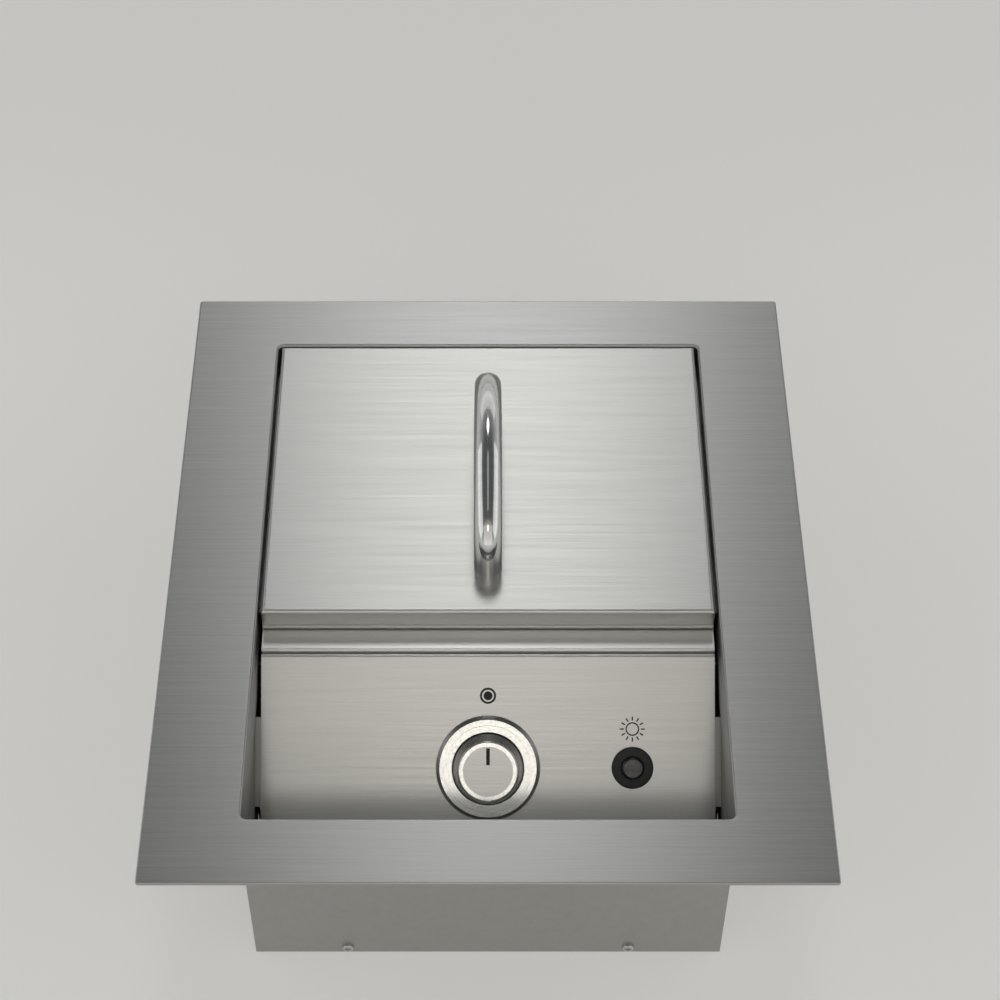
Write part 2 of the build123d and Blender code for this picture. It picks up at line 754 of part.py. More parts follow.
def burner_deck():
    plate = block(-box_half, box_half, divider_rear, box_rear, DECK_TOP - DECK_SHEET, DECK_TOP)
    low = DECK_TOP - DECK_FLANGE
    under = DECK_TOP - DECK_SHEET
    skirt = block(-box_half, box_half, divider_rear, box_rear, low, under)
    inner_half = box_half - DECK_SHEET
    skirt -= block(-inner_half, inner_half, divider_rear + DECK_SHEET, box_rear - DECK_SHEET, low, under)
    deck = plate + skirt
    deck -= Pos(0, chamber_y, DECK_TOP) * Box(2 * window_half_x, 2 * window_half_y, 4 * DECK_SHEET)
    deck -= rod_z(INSULATOR_RADIUS + SCREW_CLEARANCE, low, DECK_TOP, button_x, electrode_y)
    return drill(drill(deck, deck_seats()), burner_seats())


def plate_ring(inner_x, inner_y, outer_x, outer_y, z0, z1):
    """Four plates, butted at the corners, round a rectangular opening."""
    plates = []
    for side in (-1, 1):
        span_x = sorted((side * inner_x, side * outer_x))
        span_y = sorted((side * inner_y, side * outer_y))
        plates.append(block(*span_x, -outer_y, outer_y, z0, z1))
        plates.append(block(-inner_x, inner_x, *span_y, z0, z1))
    return plates


def burner_plenum():
    """Stepped pan, welded up from plates: the tiles sit on its step, and gas and air mix below them."""
    wall = PLENUM_SHEET
    pan = (pan_half_x + wall, pan_half_y + wall)
    pocket = (pocket_half_x + wall, pocket_half_y + wall)
    plates = [block(-pan[0], pan[0], -pan[1], pan[1], pan_floor - wall, pan_floor)]
    plates += plate_ring(pan_half_x, pan_half_y, *pan, pan_floor, tile_bottom)
    plates += plate_ring(*pan, *pocket, tile_bottom - wall, tile_bottom)
    plates += plate_ring(pocket_half_x, pocket_half_y, *pocket, tile_bottom, tile_top)
    plates += plate_ring(*pocket, flange_half_x, flange_half_y, tile_top - wall, tile_top)
    hole_radius = MIXER_RADIUS + THREAD_CLEARANCE
    hole = rod_y(hole_radius, pan_front - wall, pan_front + 2 * wall, MIXER_X, GAS_LINE_Z)
    placed = [Pos(0, chamber_y, 0) * plate - hole for plate in plates]
    return group([drill(plate, burner_seats()) for plate in placed])


def tile_gasket():
    low = tile_top
    high = low + GASKET_THICKNESS
    ring = block(-flange_half_x, flange_half_x, -flange_half_y, flange_half_y, low, high)
    ring -= block(-window_half_x, window_half_x, -window_half_y, window_half_y, low, high)
    return drill(Pos(0, chamber_y, 0) * ring, burner_seats())


def ceramic_tiles():
    middle = (TILE_WIDTH + TILE_GAP) / 2
    tile = Box(TILE_WIDTH, TILE_DEPTH, TILE_THICKNESS)
    height = (tile_top + tile_bottom) / 2
    return group([Pos(side * middle, chamber_y, height) * tile for side in (-1, 1)])


def burner_baffle():
    """Spreader plate on two feet over the pan's floor."""
    top = pan_floor + BAFFLE_RISE
    half_x = BAFFLE_WIDTH / 2
    half_y = BAFFLE_DEPTH / 2
    plate = block(-half_x, half_x, -half_y, half_y, top - BAFFLE_SHEET, top)
    for side in (-1, 1):
        inner = side * (half_x - BAFFLE_SHEET)
        outer = side * half_x
        plate += block(min(inner, outer), max(inner, outer), -half_y, half_y, pan_floor, top)
    return Pos(0, chamber_y, 0) * plate


def burner_nuts():
    low = tile_top - PLENUM_SHEET - NUT_LENGTH
    nut = hexagon(NUT_FLATS, NUT_LENGTH) - rod_z(SCREW_RADIUS + THREAD_CLEARANCE, 0, NUT_LENGTH)
    return group([Pos(seat.origin.X, seat.origin.Y, low) * nut for seat in burner_seats()])


def mixer_tube():
    """Venturi tube with a cup at its mouth, whose end plate has air windows and a hub."""
    cup_rear = mouth_y + CUP_LENGTH
    tip = pan_front + PLENUM_SHEET + MIXER_SPIGOT
    place = (MIXER_X, GAS_LINE_Z)
    tube = rod_y(MIXER_RADIUS, mouth_y + MIXER_WALL, tip, *place)
    tube += rod_y(MIXER_RADIUS + MIXER_COLLAR, pan_front - MIXER_WALL, pan_front, *place)
    tube += rod_y(CUP_RADIUS, mouth_y, cup_rear, *place)
    tube += rod_y(HUB_RADIUS, hub_end, mouth_y + MIXER_WALL, *place)
    tube += rod_y(HUB_RADIUS + HUB_LIP, hub_end, hub_end + HUB_LIP_LENGTH, *place)
    tube -= rod_y(MIXER_RADIUS - MIXER_WALL, mouth_y + MIXER_WALL, tip, *place)
    tube -= rod_y(CUP_RADIUS - MIXER_WALL, mouth_y + MIXER_WALL, cup_rear - MIXER_WALL, *place)
    tube -= rod_y(ORIFICE_RADIUS + THREAD_CLEARANCE, hub_end, mouth_y + MIXER_WALL, *place)
    return tube - air_windows(mouth_y, mouth_y + MIXER_WALL)


def air_windows(front, rear):
    ring = (HUB_RADIUS + CUP_RADIUS) / 2
    holes = []
    for step in range(WINDOW_COUNT):
        angle = 2 * math.pi * step / WINDOW_COUNT
        x = MIXER_X + ring * math.cos(angle)
        z = GAS_LINE_Z + ring * math.sin(angle)
        holes.append(rod_y(WINDOW_RADIUS, front, rear, x, z))
    return holes


def air_shutter():
    """Disc that turns on the mixer's hub and covers its air windows more or less."""
    rear = mouth_y - MOVING_CLEARANCE
    front = rear - SHUTTER_THICKNESS
    disc = rod_y(CUP_RADIUS, front, rear, MIXER_X, GAS_LINE_Z)
    tab_half = SHUTTER_TAB_WIDTH / 2
    tab_top = GAS_LINE_Z + CUP_RADIUS + SHUTTER_TAB
    disc += block(MIXER_X - tab_half, MIXER_X + tab_half, front, rear, GAS_LINE_Z, tab_top)
    disc -= rod_y(HUB_RADIUS + RUNNING_CLEARANCE, front, rear, MIXER_X, GAS_LINE_Z)
    return disc - air_windows(front, rear)


# Gas line

def gas_orifice():
    hex_front = hub_end - ORIFICE_HEX_LENGTH
    nose = mouth_y + ORIFICE_NOSE
    seat = Plane(origin=(MIXER_X, hex_front, GAS_LINE_Z), x_dir=(1, 0, 0), z_dir=(0, 1, 0))
    spud = seat * hexagon(ORIFICE_FLATS, ORIFICE_HEX_LENGTH)
    spud += rod_y(ORIFICE_RADIUS, hub_end, nose, MIXER_X, GAS_LINE_Z)
    socket = FEED_DIAMETER / 2 + TUBE_CLEARANCE
    spud -= rod_y(socket, hex_front, hex_front + SOCKET_DEPTH, MIXER_X, GAS_LINE_Z)
    return spud - rod_y(ORIFICE_JET_RADIUS, hex_front, nose, MIXER_X, GAS_LINE_Z)


def feed_tube():
    points = [
        (boss_end - SOCKET_DEPTH, port_y, GAS_LINE_Z),
        (MIXER_X, port_y, GAS_LINE_Z),
        (MIXER_X, hub_end - ORIFICE_HEX_LENGTH + SOCKET_DEPTH, GAS_LINE_Z),
    ]
    return tube_along(points, [FEED_BEND], FEED_DIAMETER / 2, TUBE_WALL)


def supply_tube():
    points = [
        (supply_x, box_rear - INLET_INNER_LENGTH + SOCKET_DEPTH, GAS_LINE_Z),
        (supply_x, port_y, GAS_LINE_Z),
        (SOCKET_DEPTH - boss_end, port_y, GAS_LINE_Z),
    ]
    return tube_along(points, [SUPPLY_BEND], SUPPLY_DIAMETER / 2, TUBE_WALL)


def tube_nuts():
    """Compression nuts on the two tubes, tight against the valve's bosses."""
    nuts = []
    for start, tube in ((-boss_end - TUBE_NUT_LENGTH, SUPPLY_DIAMETER), (boss_end, FEED_DIAMETER)):
        nut = hexagon(TUBE_NUT_FLATS, TUBE_NUT_LENGTH)
        nut -= rod_z(tube / 2 + TUBE_CLEARANCE, 0, TUBE_NUT_LENGTH)
        seat = Plane(origin=(start, port_y, GAS_LINE_Z), x_dir=(0, 1, 0), z_dir=(1, 0, 0))
        nuts.append(seat * nut)
    return group(nuts)


def gas_inlet():
    """Bulkhead fitting: flare thread outside the rear wall, tube socket inside."""
    outer = box_rear + WALL_SHEET
    thread_start = outer + INLET_HEX_LENGTH
    inner_end = box_rear - INLET_INNER_LENGTH
    tip = thread_start + INLET_THREAD_LENGTH
    seat = Plane(origin=(supply_x, outer, GAS_LINE_Z), x_dir=(1, 0, 0), z_dir=(0, 1, 0))
    fitting = seat * hexagon(INLET_FLATS, INLET_HEX_LENGTH)
    fitting += rod_y(INLET_THREAD_RADIUS, inner_end, tip, supply_x, GAS_LINE_Z)
    socket = SUPPLY_DIAMETER / 2 + TUBE_CLEARANCE
    fitting -= rod_y(socket, inner_end, inner_end + SOCKET_DEPTH, supply_x, GAS_LINE_Z)
    return fitting - rod_y(INLET_BORE_RADIUS, inner_end, tip, supply_x, GAS_LINE_Z)


def inlet_nut():
    start = box_rear - INLET_HEX_LENGTH
    seat = Plane(origin=(supply_x, start, GAS_LINE_Z), x_dir=(1, 0, 0), z_dir=(0, 1, 0))
    nut = hexagon(INLET_FLATS, INLET_HEX_LENGTH)
    return seat * (nut - rod_z(INLET_THREAD_RADIUS + THREAD_CLEARANCE, 0, INLET_HEX_LENGTH))


def valve_body():
    half = VALVE_WIDTH / 2
    body = block(-half, half, -half, half, valve_bottom, bonnet_bottom)
    body = fillet(body.edges().filter_by(Axis.Z), VALVE_EDGE)
    body += rod_x(VALVE_BOSS_RADIUS, -boss_end, boss_end, 0, -port_depth)
    body -= rod_z(VALVE_BORE_RADIUS, plug_bottom - RUNNING_CLEARANCE, bonnet_bottom)
    body -= rod_x(PORT_RADIUS, -boss_end, boss_end, 0, -port_depth)
    supply = SUPPLY_DIAMETER / 2 + TUBE_CLEARANCE
    feed = FEED_DIAMETER / 2 + TUBE_CLEARANCE
    body -= rod_x(supply, -boss_end, SOCKET_DEPTH - boss_end, 0, -port_depth)
    body -= rod_x(feed, boss_end - SOCKET_DEPTH, boss_end, 0, -port_depth)
    return at_panel(0, KNOB_SLOPE, body)


def valve_bonnet():
    """Plate between the valve and the panel, which two screws under the knob hold."""
    outline = RectangleRounded(BONNET_WIDTH, BONNET_DEPTH, BONNET_CORNER)
    plate = Pos(0, 0, bonnet_bottom) * extrude(outline, BONNET_THICKNESS)
    plate -= rod_z(STEM_RADIUS + RUNNING_CLEARANCE, bonnet_bottom, -PANEL_SHEET)
    for side in (-1, 1):
        hole = SCREW_RADIUS + SCREW_CLEARANCE
        plate -= rod_z(hole, bonnet_bottom, -PANEL_SHEET, side * BONNET_SCREW_SIDE)
    return at_panel(0, KNOB_SLOPE, plate)


def bonnet_screws():
    screw = pan_screw(SCREW_RADIUS, PANEL_SHEET + BONNET_THICKNESS)
    places = [Pos(side * BONNET_SCREW_SIDE, 0, 0) * screw for side in (-1, 1)]
    return group([at_panel(0, KNOB_SLOPE, place) for place in places])


def valve_plug():
    plug = rod_z(VALVE_BORE_RADIUS - RUNNING_CLEARANCE, plug_bottom, plug_top)
    slot_bottom = tang_end - KNOB_TRAVEL - MOVING_CLEARANCE
    slot_x = TANG_WIDTH / 2 + RUNNING_CLEARANCE
    slot_y = TANG_THICKNESS / 2 + RUNNING_CLEARANCE
    plug -= block(-slot_x, slot_x, -slot_y, slot_y, slot_bottom, plug_top)
    return at_panel(0, KNOB_SLOPE, plug)


def valve_stem():
    """Stem with a flat for the knob and a tang that slides in the plug's slot."""
    shoulder = plug_top + KNOB_TRAVEL + MOVING_CLEARANCE
    top = KNOB_LIFT + STEM_REACH
    stem = rod_z(STEM_RADIUS, shoulder, top)
    cut = STEM_RADIUS - STEM_FLAT
    stem -= block(-STEM_RADIUS, STEM_RADIUS, cut, STEM_RADIUS, KNOB_LIFT, top)
    half_x = TANG_WIDTH / 2
    half_y = TANG_THICKNESS / 2
    stem += block(-half_x, half_x, -half_y, half_y, tang_end, shoulder)
    return at_panel(0, KNOB_SLOPE, stem)


def stem_washer():
    high = bonnet_bottom - MOVING_CLEARANCE
    ring = rod_z(WASHER_RADIUS, high - WASHER_THICKNESS, high)
    ring -= rod_z(STEM_RADIUS + THREAD_CLEARANCE, high - WASHER_THICKNESS, high)
    return at_panel(0, KNOB_SLOPE, ring)


def stem_spring():
    low = plug_top
    high = bonnet_bottom - MOVING_CLEARANCE - WASHER_THICKNESS
    coil = spring(STEM_SPRING_RADIUS, STEM_SPRING_WIRE, high - low, STEM_SPRING_TURNS)
    return at_panel(0, KNOB_SLOPE, Pos(0, 0, low) * coil)


# Knob

def turned(points):
    """A solid of revolution about Z from radius and height pairs."""
    outline = make_face(Polyline(*[(radius, 0, height) for radius, height in points], close=True))
    return revolve(outline, Axis.Z)


def knob_bezel():
    inner = KNOB_RADIUS + MOVING_CLEARANCE
    groove_low = BEZEL_HEIGHT - BEZEL_GROOVE
    points = [
        (inner, 0),
        (BEZEL_RADIUS, 0),
        (BEZEL_RADIUS, BEZEL_HEIGHT - 2 * BEZEL_EDGE),
        (BEZEL_RADIUS - BEZEL_EDGE, BEZEL_HEIGHT - BEZEL_GROOVE),
        (BEZEL_GROOVE_RADIUS + BEZEL_GROOVE / 2, BEZEL_HEIGHT - BEZEL_GROOVE),
        (BEZEL_GROOVE_RADIUS + BEZEL_GROOVE / 2, groove_low - BEZEL_GROOVE),
        (BEZEL_GROOVE_RADIUS - BEZEL_GROOVE / 2, groove_low - BEZEL_GROOVE),
        (BEZEL_GROOVE_RADIUS - BEZEL_GROOVE / 2, BEZEL_HEIGHT),
        (inner, BEZEL_HEIGHT),
    ]
    return at_panel(0, KNOB_SLOPE, turned(points))


def knob_grip():
    """Hollow grip: a tapered shell with a boss on the stem's insert."""
    top = KNOB_LIFT + KNOB_HEIGHT
    points = [(0, KNOB_LIFT), (KNOB_RADIUS, KNOB_LIFT), (KNOB_FACE_RADIUS, top), (0, top)]
    grip = turned(points)
    grip = fillet(grip.edges().group_by(Axis.Z)[-1], KNOB_EDGE)
    roof = top - 2 * KNOB_WALL
    cavity_top = KNOB_FACE_RADIUS - KNOB_WALL
    cavity = turned([(0, KNOB_LIFT), (KNOB_RADIUS - KNOB_WALL, KNOB_LIFT), (cavity_top, roof), (0, roof)])
    cavity -= rod_z(KNOB_BOSS_RADIUS, KNOB_LIFT, roof)
    grip -= cavity
    grip -= rod_z(INSERT_RADIUS, KNOB_LIFT, KNOB_LIFT + STEM_REACH)
    grip -= rod_z(KNOB_CAP_RADIUS, top - KNOB_CAP_THICKNESS, top)
    return at_panel(0, KNOB_SLOPE, grip)


def knob_insert():
    """Metal sleeve in the grip's boss, with the stem's flat in its bore."""
    top = KNOB_LIFT + STEM_REACH
    sleeve = rod_z(INSERT_RADIUS, KNOB_LIFT, top)
    cut = STEM_RADIUS - STEM_FLAT + RUNNING_CLEARANCE
    bore = rod_z(STEM_RADIUS + RUNNING_CLEARANCE, KNOB_LIFT, top)
    bore -= block(-INSERT_RADIUS, INSERT_RADIUS, cut, INSERT_RADIUS, KNOB_LIFT, top)
    return at_panel(0, KNOB_SLOPE, sleeve - bore)


def knob_cap():
    top = KNOB_LIFT + KNOB_HEIGHT
    return at_panel(0, KNOB_SLOPE, rod_z(KNOB_CAP_RADIUS, top - KNOB_CAP_THICKNESS, top))


def knob_pointer():
    top = KNOB_LIFT + KNOB_HEIGHT
    end = KNOB_CAP_RADIUS - POINTER_WIDTH / 2
    half = POINTER_WIDTH / 2
    bar = block(-half, half, end - POINTER_LENGTH, end, top, top + POINTER_RISE)
    return at_panel(0, KNOB_SLOPE, bar)


# Igniter

def igniter_housing():
    collar = rod_z(IGNITER_COLLAR_RADIUS, 0, IGNITER_COLLAR_HEIGHT)
    collar = fillet(collar.edges().group_by(Axis.Z)[-1], IGNITER_COLLAR_HEIGHT / 2)
    body = collar + rod_z(IGNITER_RADIUS, igniter_bottom, 0)
    body += rod_z(TERMINAL_RADIUS, igniter_bottom - TERMINAL_LENGTH, igniter_bottom)
    body -= rod_z(BUTTON_RADIUS + MOVING_CLEARANCE, battery_top, IGNITER_COLLAR_HEIGHT)
    body -= rod_z(BATTERY_RADIUS + TUBE_CLEARANCE, battery_bottom, battery_top)
    return at_panel(button_x, KNOB_SLOPE, body)


def igniter_nut():
    nut = hexagon(IGNITER_NUT_FLATS, IGNITER_NUT_LENGTH)
    nut -= rod_z(IGNITER_RADIUS + THREAD_CLEARANCE, 0, IGNITER_NUT_LENGTH)
    return at_panel(button_x, KNOB_SLOPE, Pos(0, 0, -PANEL_SHEET - IGNITER_NUT_LENGTH) * nut)


def igniter_battery():
    cell = rod_z(BATTERY_RADIUS, battery_bottom, battery_top)
    return at_panel(button_x, KNOB_SLOPE, cell)


def igniter_button():
    cap = rod_z(BUTTON_RADIUS, button_bottom, BUTTON_PROUD)
    cap = fillet(cap.edges().group_by(Axis.Z)[-1], BUTTON_EDGE)
    return at_panel(button_x, KNOB_SLOPE, cap)


def igniter_spring():
    length = button_bottom - battery_top
    coil = spring(BUTTON_SPRING_RADIUS, BUTTON_SPRING_WIRE, length, BUTTON_SPRING_TURNS)
    return at_panel(button_x, KNOB_SLOPE, Pos(0, 0, battery_top) * coil)


def electrode_insulator():
    low = DECK_TOP - INSULATOR_BELOW
    high = DECK_TOP + INSULATOR_ABOVE
    place = (button_x, electrode_y)
    body = rod_z(INSULATOR_RADIUS, low, high, *place)
    body += rod_z(INSULATOR_COLLAR_RADIUS, DECK_TOP, DECK_TOP + INSULATOR_COLLAR_HEIGHT, *place)
    return body - rod_z(WIRE_RADIUS + TUBE_CLEARANCE, low, high, *place)


def electrode_wire():
    low = DECK_TOP - INSULATOR_BELOW
    high = DECK_TOP + INSULATOR_ABOVE + WIRE_RISE
    tip_y = electrode_y + WIRE_REACH
    points = [
        (button_x, electrode_y, low),
        (button_x, electrode_y, high),
        (button_x, tip_y, high),
        (button_x, tip_y, high - WIRE_TIP),
    ]
    return tube_along(points, [WIRE_BEND, WIRE_BEND], WIRE_RADIUS, None)


def lead_points():
    """The route of the igniter's lead, from the housing's terminal to the electrode."""
    start = panel_point(button_x, KNOB_SLOPE, igniter_bottom - TERMINAL_LENGTH)
    first = panel_point(button_x, KNOB_SLOPE, igniter_bottom - TERMINAL_LENGTH - LEAD_STRAIGHT)
    end = DECK_TOP - INSULATOR_BELOW
    return [
        start,
        first,
        Vector(button_x, electrode_y, lead_z),
        Vector(button_x, electrode_y, end),
    ]


def bend_radii(points):
    """For each corner, a radius as large as its two runs allow."""
    radii = []
    for before, here, after in zip(points, points[1:], points[2:]):
        first = here - before
        second = after - here
        half_turn = math.radians(first.get_angle(second)) / 2
        shorter = min(first.length, second.length)
        radii.append(0.45 * shorter / math.tan(half_turn))
    return radii


def igniter_lead():
    points = lead_points()
    return tube_along(points, bend_radii(points), LEAD_RADIUS, None)


def lead_grommet():
    """Grooved ring in the divider, through which the lead passes."""
    front = divider_front - (GROMMET_LENGTH - DIVIDER_SHEET) / 2
    rear = front + GROMMET_LENGTH
    ring = rod_y(GROMMET_RADIUS, front, rear, button_x, lead_z)
    groove = rod_y(GROMMET_RADIUS, divider_front, divider_rear, button_x, lead_z)
    groove -= rod_y(GROMMET_RADIUS - GROMMET_LIP, divider_front, divider_rear, button_x, lead_z)
    return ring - groove - rod_y(LEAD_RADIUS + TUBE_CLEARANCE, front, rear, button_x, lead_z)


# Cooking grid

def cooking_grid():
    rod_z_middle = GRID_TOP - GRID_ROD_RADIUS
    count = int(grid_half_x // GRID_PITCH)
    grid = [rod_x(GRID_BAR_RADIUS, -grid_half_x, grid_half_x, y, bar_z) for y in bar_places]
    for step in range(-count, count + 1):
        grid.append(rod_y(GRID_ROD_RADIUS, grid_front, grid_rear, step * GRID_PITCH, rod_z_middle))
    return grid[0].fuse(*grid[1:])


def grid_posts():
    """Posts on the deck, each with a saddle for one of the grid's cross bars."""
    seat = bar_z - GRID_BAR_RADIUS - GRID_SEAT_GAP
    half = GRID_BAR_RADIUS + MOVING_CLEARANCE
    post = rod_z(POST_RADIUS, DECK_TOP, seat + POST_CHEEK)
    post -= block(-POST_RADIUS, POST_RADIUS, -half, half, seat, seat + POST_CHEEK)
    return group([Pos(side * post_x, y, 0) * post for side in (-1, 1) for y in bar_places])


# Cover

def arch(low_start, high_start, high_end, low_end, radii):
    """A face with two rounded upper corners, from four corner points."""
    line = FilletPolyline(low_start, high_start, high_end, low_end, radius=radii)
    return make_face(line.edges() + [Line(low_end, low_start)])


def lid_form(inset, low):
    """The cover's outer form, or the form of its hollow when inset by the sheet."""
    half = lid_half - inset
    front = lid_front + inset
    rear = lid_rear - inset
    top = FRAME_TOP - inset
    side_bend = LID_SIDE_BEND - inset
    front_bend = LID_FRONT_BEND - inset
    along = arch((0, front, low), (0, front, top), (0, rear, top), (0, rear, low), [front_bend, side_bend])
    across = arch((-half, 0, low), (-half, 0, top), (half, 0, top), (half, 0, low), [side_bend, side_bend])
    long_form = extrude(along, half, dir=(1, 0, 0), both=True)
    wide_form = Pos(0, front, 0) * extrude(across, rear - front, dir=(0, 1, 0))
    return long_form & wide_form


def pad_places():
    x = lid_half - LID_SHEET - LID_RETURN / 2
    return [(side * x, y) for side in (-1, 1) for y in (lid_front + PAD_SETBACK, lid_rear - PAD_SETBACK)]


def lid_shell():
    shell = lid_form(0, lid_bottom) - lid_form(LID_SHEET, lid_bottom)
    outer = lid_half - LID_SHEET
    inner = outer - LID_RETURN
    start = lid_front + LID_RETURN_SETBACK
    end = lid_rear - LID_RETURN_SETBACK
    for span in ((inner, outer), (-outer, -inner)):
        shell += block(*span, start, end, lid_bottom, lid_bottom + LID_SHEET)
    hem_top = lid_bottom + LID_HEM_HEIGHT
    hem = block(-lid_half, lid_half, lid_front - LID_SHEET, lid_front, lid_bottom, hem_top)
    hem = fillet(hem.edges().filter_by(Axis.X).group_by(Axis.Y)[0], 0.45 * LID_SHEET)
    shell += hem
    for x, y in pad_places():
        shell -= rod_z(PAD_STEM_RADIUS + SCREW_CLEARANCE, lid_bottom, lid_bottom + LID_SHEET, x, y)
    hole = HANDLE_SCREW_RADIUS + SCREW_CLEARANCE
    for y in handle_feet:
        shell -= rod_z(hole, FRAME_TOP - LID_SHEET, FRAME_TOP, 0, y)
    return shell


def lid_pads():
    """Push-in pads under the cover's side returns."""
    high = lid_bottom + LID_SHEET
    pad = rod_z(PAD_RADIUS, ledge_top, lid_bottom)
    pad += rod_z(PAD_STEM_RADIUS, lid_bottom, high)
    pad += rod_z(PAD_BUTTON_RADIUS, high, high + PAD_BUTTON_HEIGHT)
    return group([Pos(x, y, 0) * pad for x, y in pad_places()])


def lid_handle():
    """Bow handle: upright legs, two end bends and an arched grip."""
    front, rear = handle_feet
    leg_top = FRAME_TOP + HANDLE_LEG
    grip_middle = FRAME_TOP + HANDLE_HEIGHT - handle_radius - grip_bend
    grip_start = math.pi / 2 + grip_half_turn
    grip_end = math.pi / 2 - grip_half_turn

    def arc(y, z, radius, start, end):
        spots = []
        for angle in (start, (start + end) / 2, end):
            spots.append((0, y + radius * math.cos(angle), z + radius * math.sin(angle)))
        return ThreePointArc(*spots)

    runs = [
        Line((0, front, FRAME_TOP), (0, front, leg_top)),
        arc(front + HANDLE_BEND, leg_top, HANDLE_BEND, math.pi, grip_start),
        arc((front + rear) / 2, grip_middle, grip_bend, grip_start, grip_end),
        arc(rear - HANDLE_BEND, leg_top, HANDLE_BEND, grip_end, 0),
        Line((0, rear, leg_top), (0, rear, FRAME_TOP)),
    ]
    path = Wire([run.edge() for run in runs])
    return tube_on(path, handle_radius, HANDLE_WALL)


def handle_plugs():
    """Threaded plugs in the handle's feet."""
    radius = handle_radius - HANDLE_WALL - TUBE_CLEARANCE
    high = FRAME_TOP + HANDLE_LEG
    bore = HANDLE_SCREW_RADIUS + THREAD_CLEARANCE
    plug = rod_z(radius, FRAME_TOP, high) - rod_z(bore, FRAME_TOP, high)
    return group([Pos(0, y, 0) * plug for y in handle_feet])


def handle_plate():
    """Stiffening plate under the cover's top, between the handle's screws."""
    front, rear = handle_feet
    high = FRAME_TOP - LID_SHEET
    half = HANDLE_PLATE_WIDTH / 2
    low = high - HANDLE_PLATE_SHEET
    plate = block(-half, half, front - HANDLE_PLATE_END, rear + HANDLE_PLATE_END, low, high)
    for y in handle_feet:
        plate -= rod_z(HANDLE_SCREW_RADIUS + SCREW_CLEARANCE, low, high, 0, y)
    return plate


def handle_screws():
    seat = FRAME_TOP - LID_SHEET - HANDLE_PLATE_SHEET
    screw = pan_screw(HANDLE_SCREW_RADIUS, FRAME_TOP - seat + HANDLE_SCREW_GRIP)
    return group([Pos(0, y, seat) * Rot(180, 0, 0) * screw for y in handle_feet])


def nodes():
    """Every piece of the burner, by the name of its node."""
    return {
        "top_frame": top_frame(),
        "left_wall": side_wall(-1),
        "right_wall": side_wall(1),
        "front_wall": end_wall(-1),
        "rear_wall": end_wall(1),
        "floor_plate": floor_plate(),
        "divider": divider(),
        "front_ledge": front_ledge(),
        "lid_rails": lid_rails(),
        "control_panel": control_panel(),
        "panel_brackets": panel_brackets(),
        "wall_screws": screws(wall_seats(), SCREW_LENGTH),
        "panel_screws": screws(panel_seats(), SCREW_LENGTH),
        "burner_deck": burner_deck(),
        "burner_plenum": burner_plenum(),
        "tile_gasket": tile_gasket(),
        "ceramic_tiles": ceramic_tiles(),
        "burner_baffle": burner_baffle(),
        "burner_screws": screws(burner_seats(), BURNER_SCREW_LENGTH),
        "burner_nuts": burner_nuts(),
        "mixer_tube": mixer_tube(),
        "air_shutter": air_shutter(),
        "gas_orifice": gas_orifice(),
        "feed_tube": feed_tube(),
        "supply_tube": supply_tube(),
        "tube_nuts": tube_nuts(),
        "gas_inlet": gas_inlet(),
        "inlet_nut": inlet_nut(),
        "valve_body": valve_body(),
        "valve_bonnet": valve_bonnet(),
        "bonnet_screws": bonnet_screws(),
        "valve_plug": valve_plug(),
        "valve_stem": valve_stem(),
        "stem_washer": stem_washer(),
        "stem_spring": stem_spring(),
        "knob_bezel": knob_bezel(),
        "knob_grip": knob_grip(),
        "knob_insert": knob_insert(),
        "knob_cap": knob_cap(),
        "knob_pointer": knob_pointer(),
        "igniter_housing": igniter_housing(),
        "igniter_nut": igniter_nut(),
        "igniter_battery": igniter_battery(),
        "igniter_button": igniter_button(),
        "igniter_spring": igniter_spring(),
        "electrode_insulator": electrode_insulator(),
        "electrode_wire": electrode_wire(),
        "igniter_lead": igniter_lead(),
        "lead_grommet": lead_grommet(),
        "cooking_grid": cooking_grid(),
        "grid_posts": grid_posts(),
        "lid_shell": lid_shell(),
        "lid_pads": lid_pads(),
        "lid_handle": lid_handle(),
        "handle_plugs": handle_plugs(),
        "handle_plate": handle_plate(),
        "handle_screws": handle_screws(),
    }


def main():
    os.makedirs("parts", exist_ok=True)
    for name, shape in nodes().items():
        export_step(shape, f"parts/{name}.step")
    print("Lead bends, mm:", [round(radius, 1) for radius in bend_radii(lead_points())])


if __name__ == "__main__":
    main()
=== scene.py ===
import json
import math

import bmesh
import bpy
from mathutils import Matrix, Vector


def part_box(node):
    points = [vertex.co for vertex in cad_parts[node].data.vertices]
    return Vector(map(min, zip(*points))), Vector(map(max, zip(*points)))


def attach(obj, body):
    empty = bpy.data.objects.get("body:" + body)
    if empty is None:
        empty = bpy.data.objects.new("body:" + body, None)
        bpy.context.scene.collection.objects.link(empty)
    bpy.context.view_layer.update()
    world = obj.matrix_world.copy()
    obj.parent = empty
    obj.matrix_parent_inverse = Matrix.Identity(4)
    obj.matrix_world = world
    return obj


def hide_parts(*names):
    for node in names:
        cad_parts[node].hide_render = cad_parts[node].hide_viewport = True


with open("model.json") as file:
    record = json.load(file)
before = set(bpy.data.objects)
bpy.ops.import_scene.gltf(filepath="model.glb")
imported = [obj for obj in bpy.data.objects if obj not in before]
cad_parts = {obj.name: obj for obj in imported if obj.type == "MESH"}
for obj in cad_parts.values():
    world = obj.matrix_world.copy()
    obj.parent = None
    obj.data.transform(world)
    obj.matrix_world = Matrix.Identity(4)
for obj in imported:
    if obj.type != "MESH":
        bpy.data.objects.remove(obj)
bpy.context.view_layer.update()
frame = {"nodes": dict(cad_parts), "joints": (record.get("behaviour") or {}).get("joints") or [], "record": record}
mm = 0.001
mergeGap = 0.005 * mm
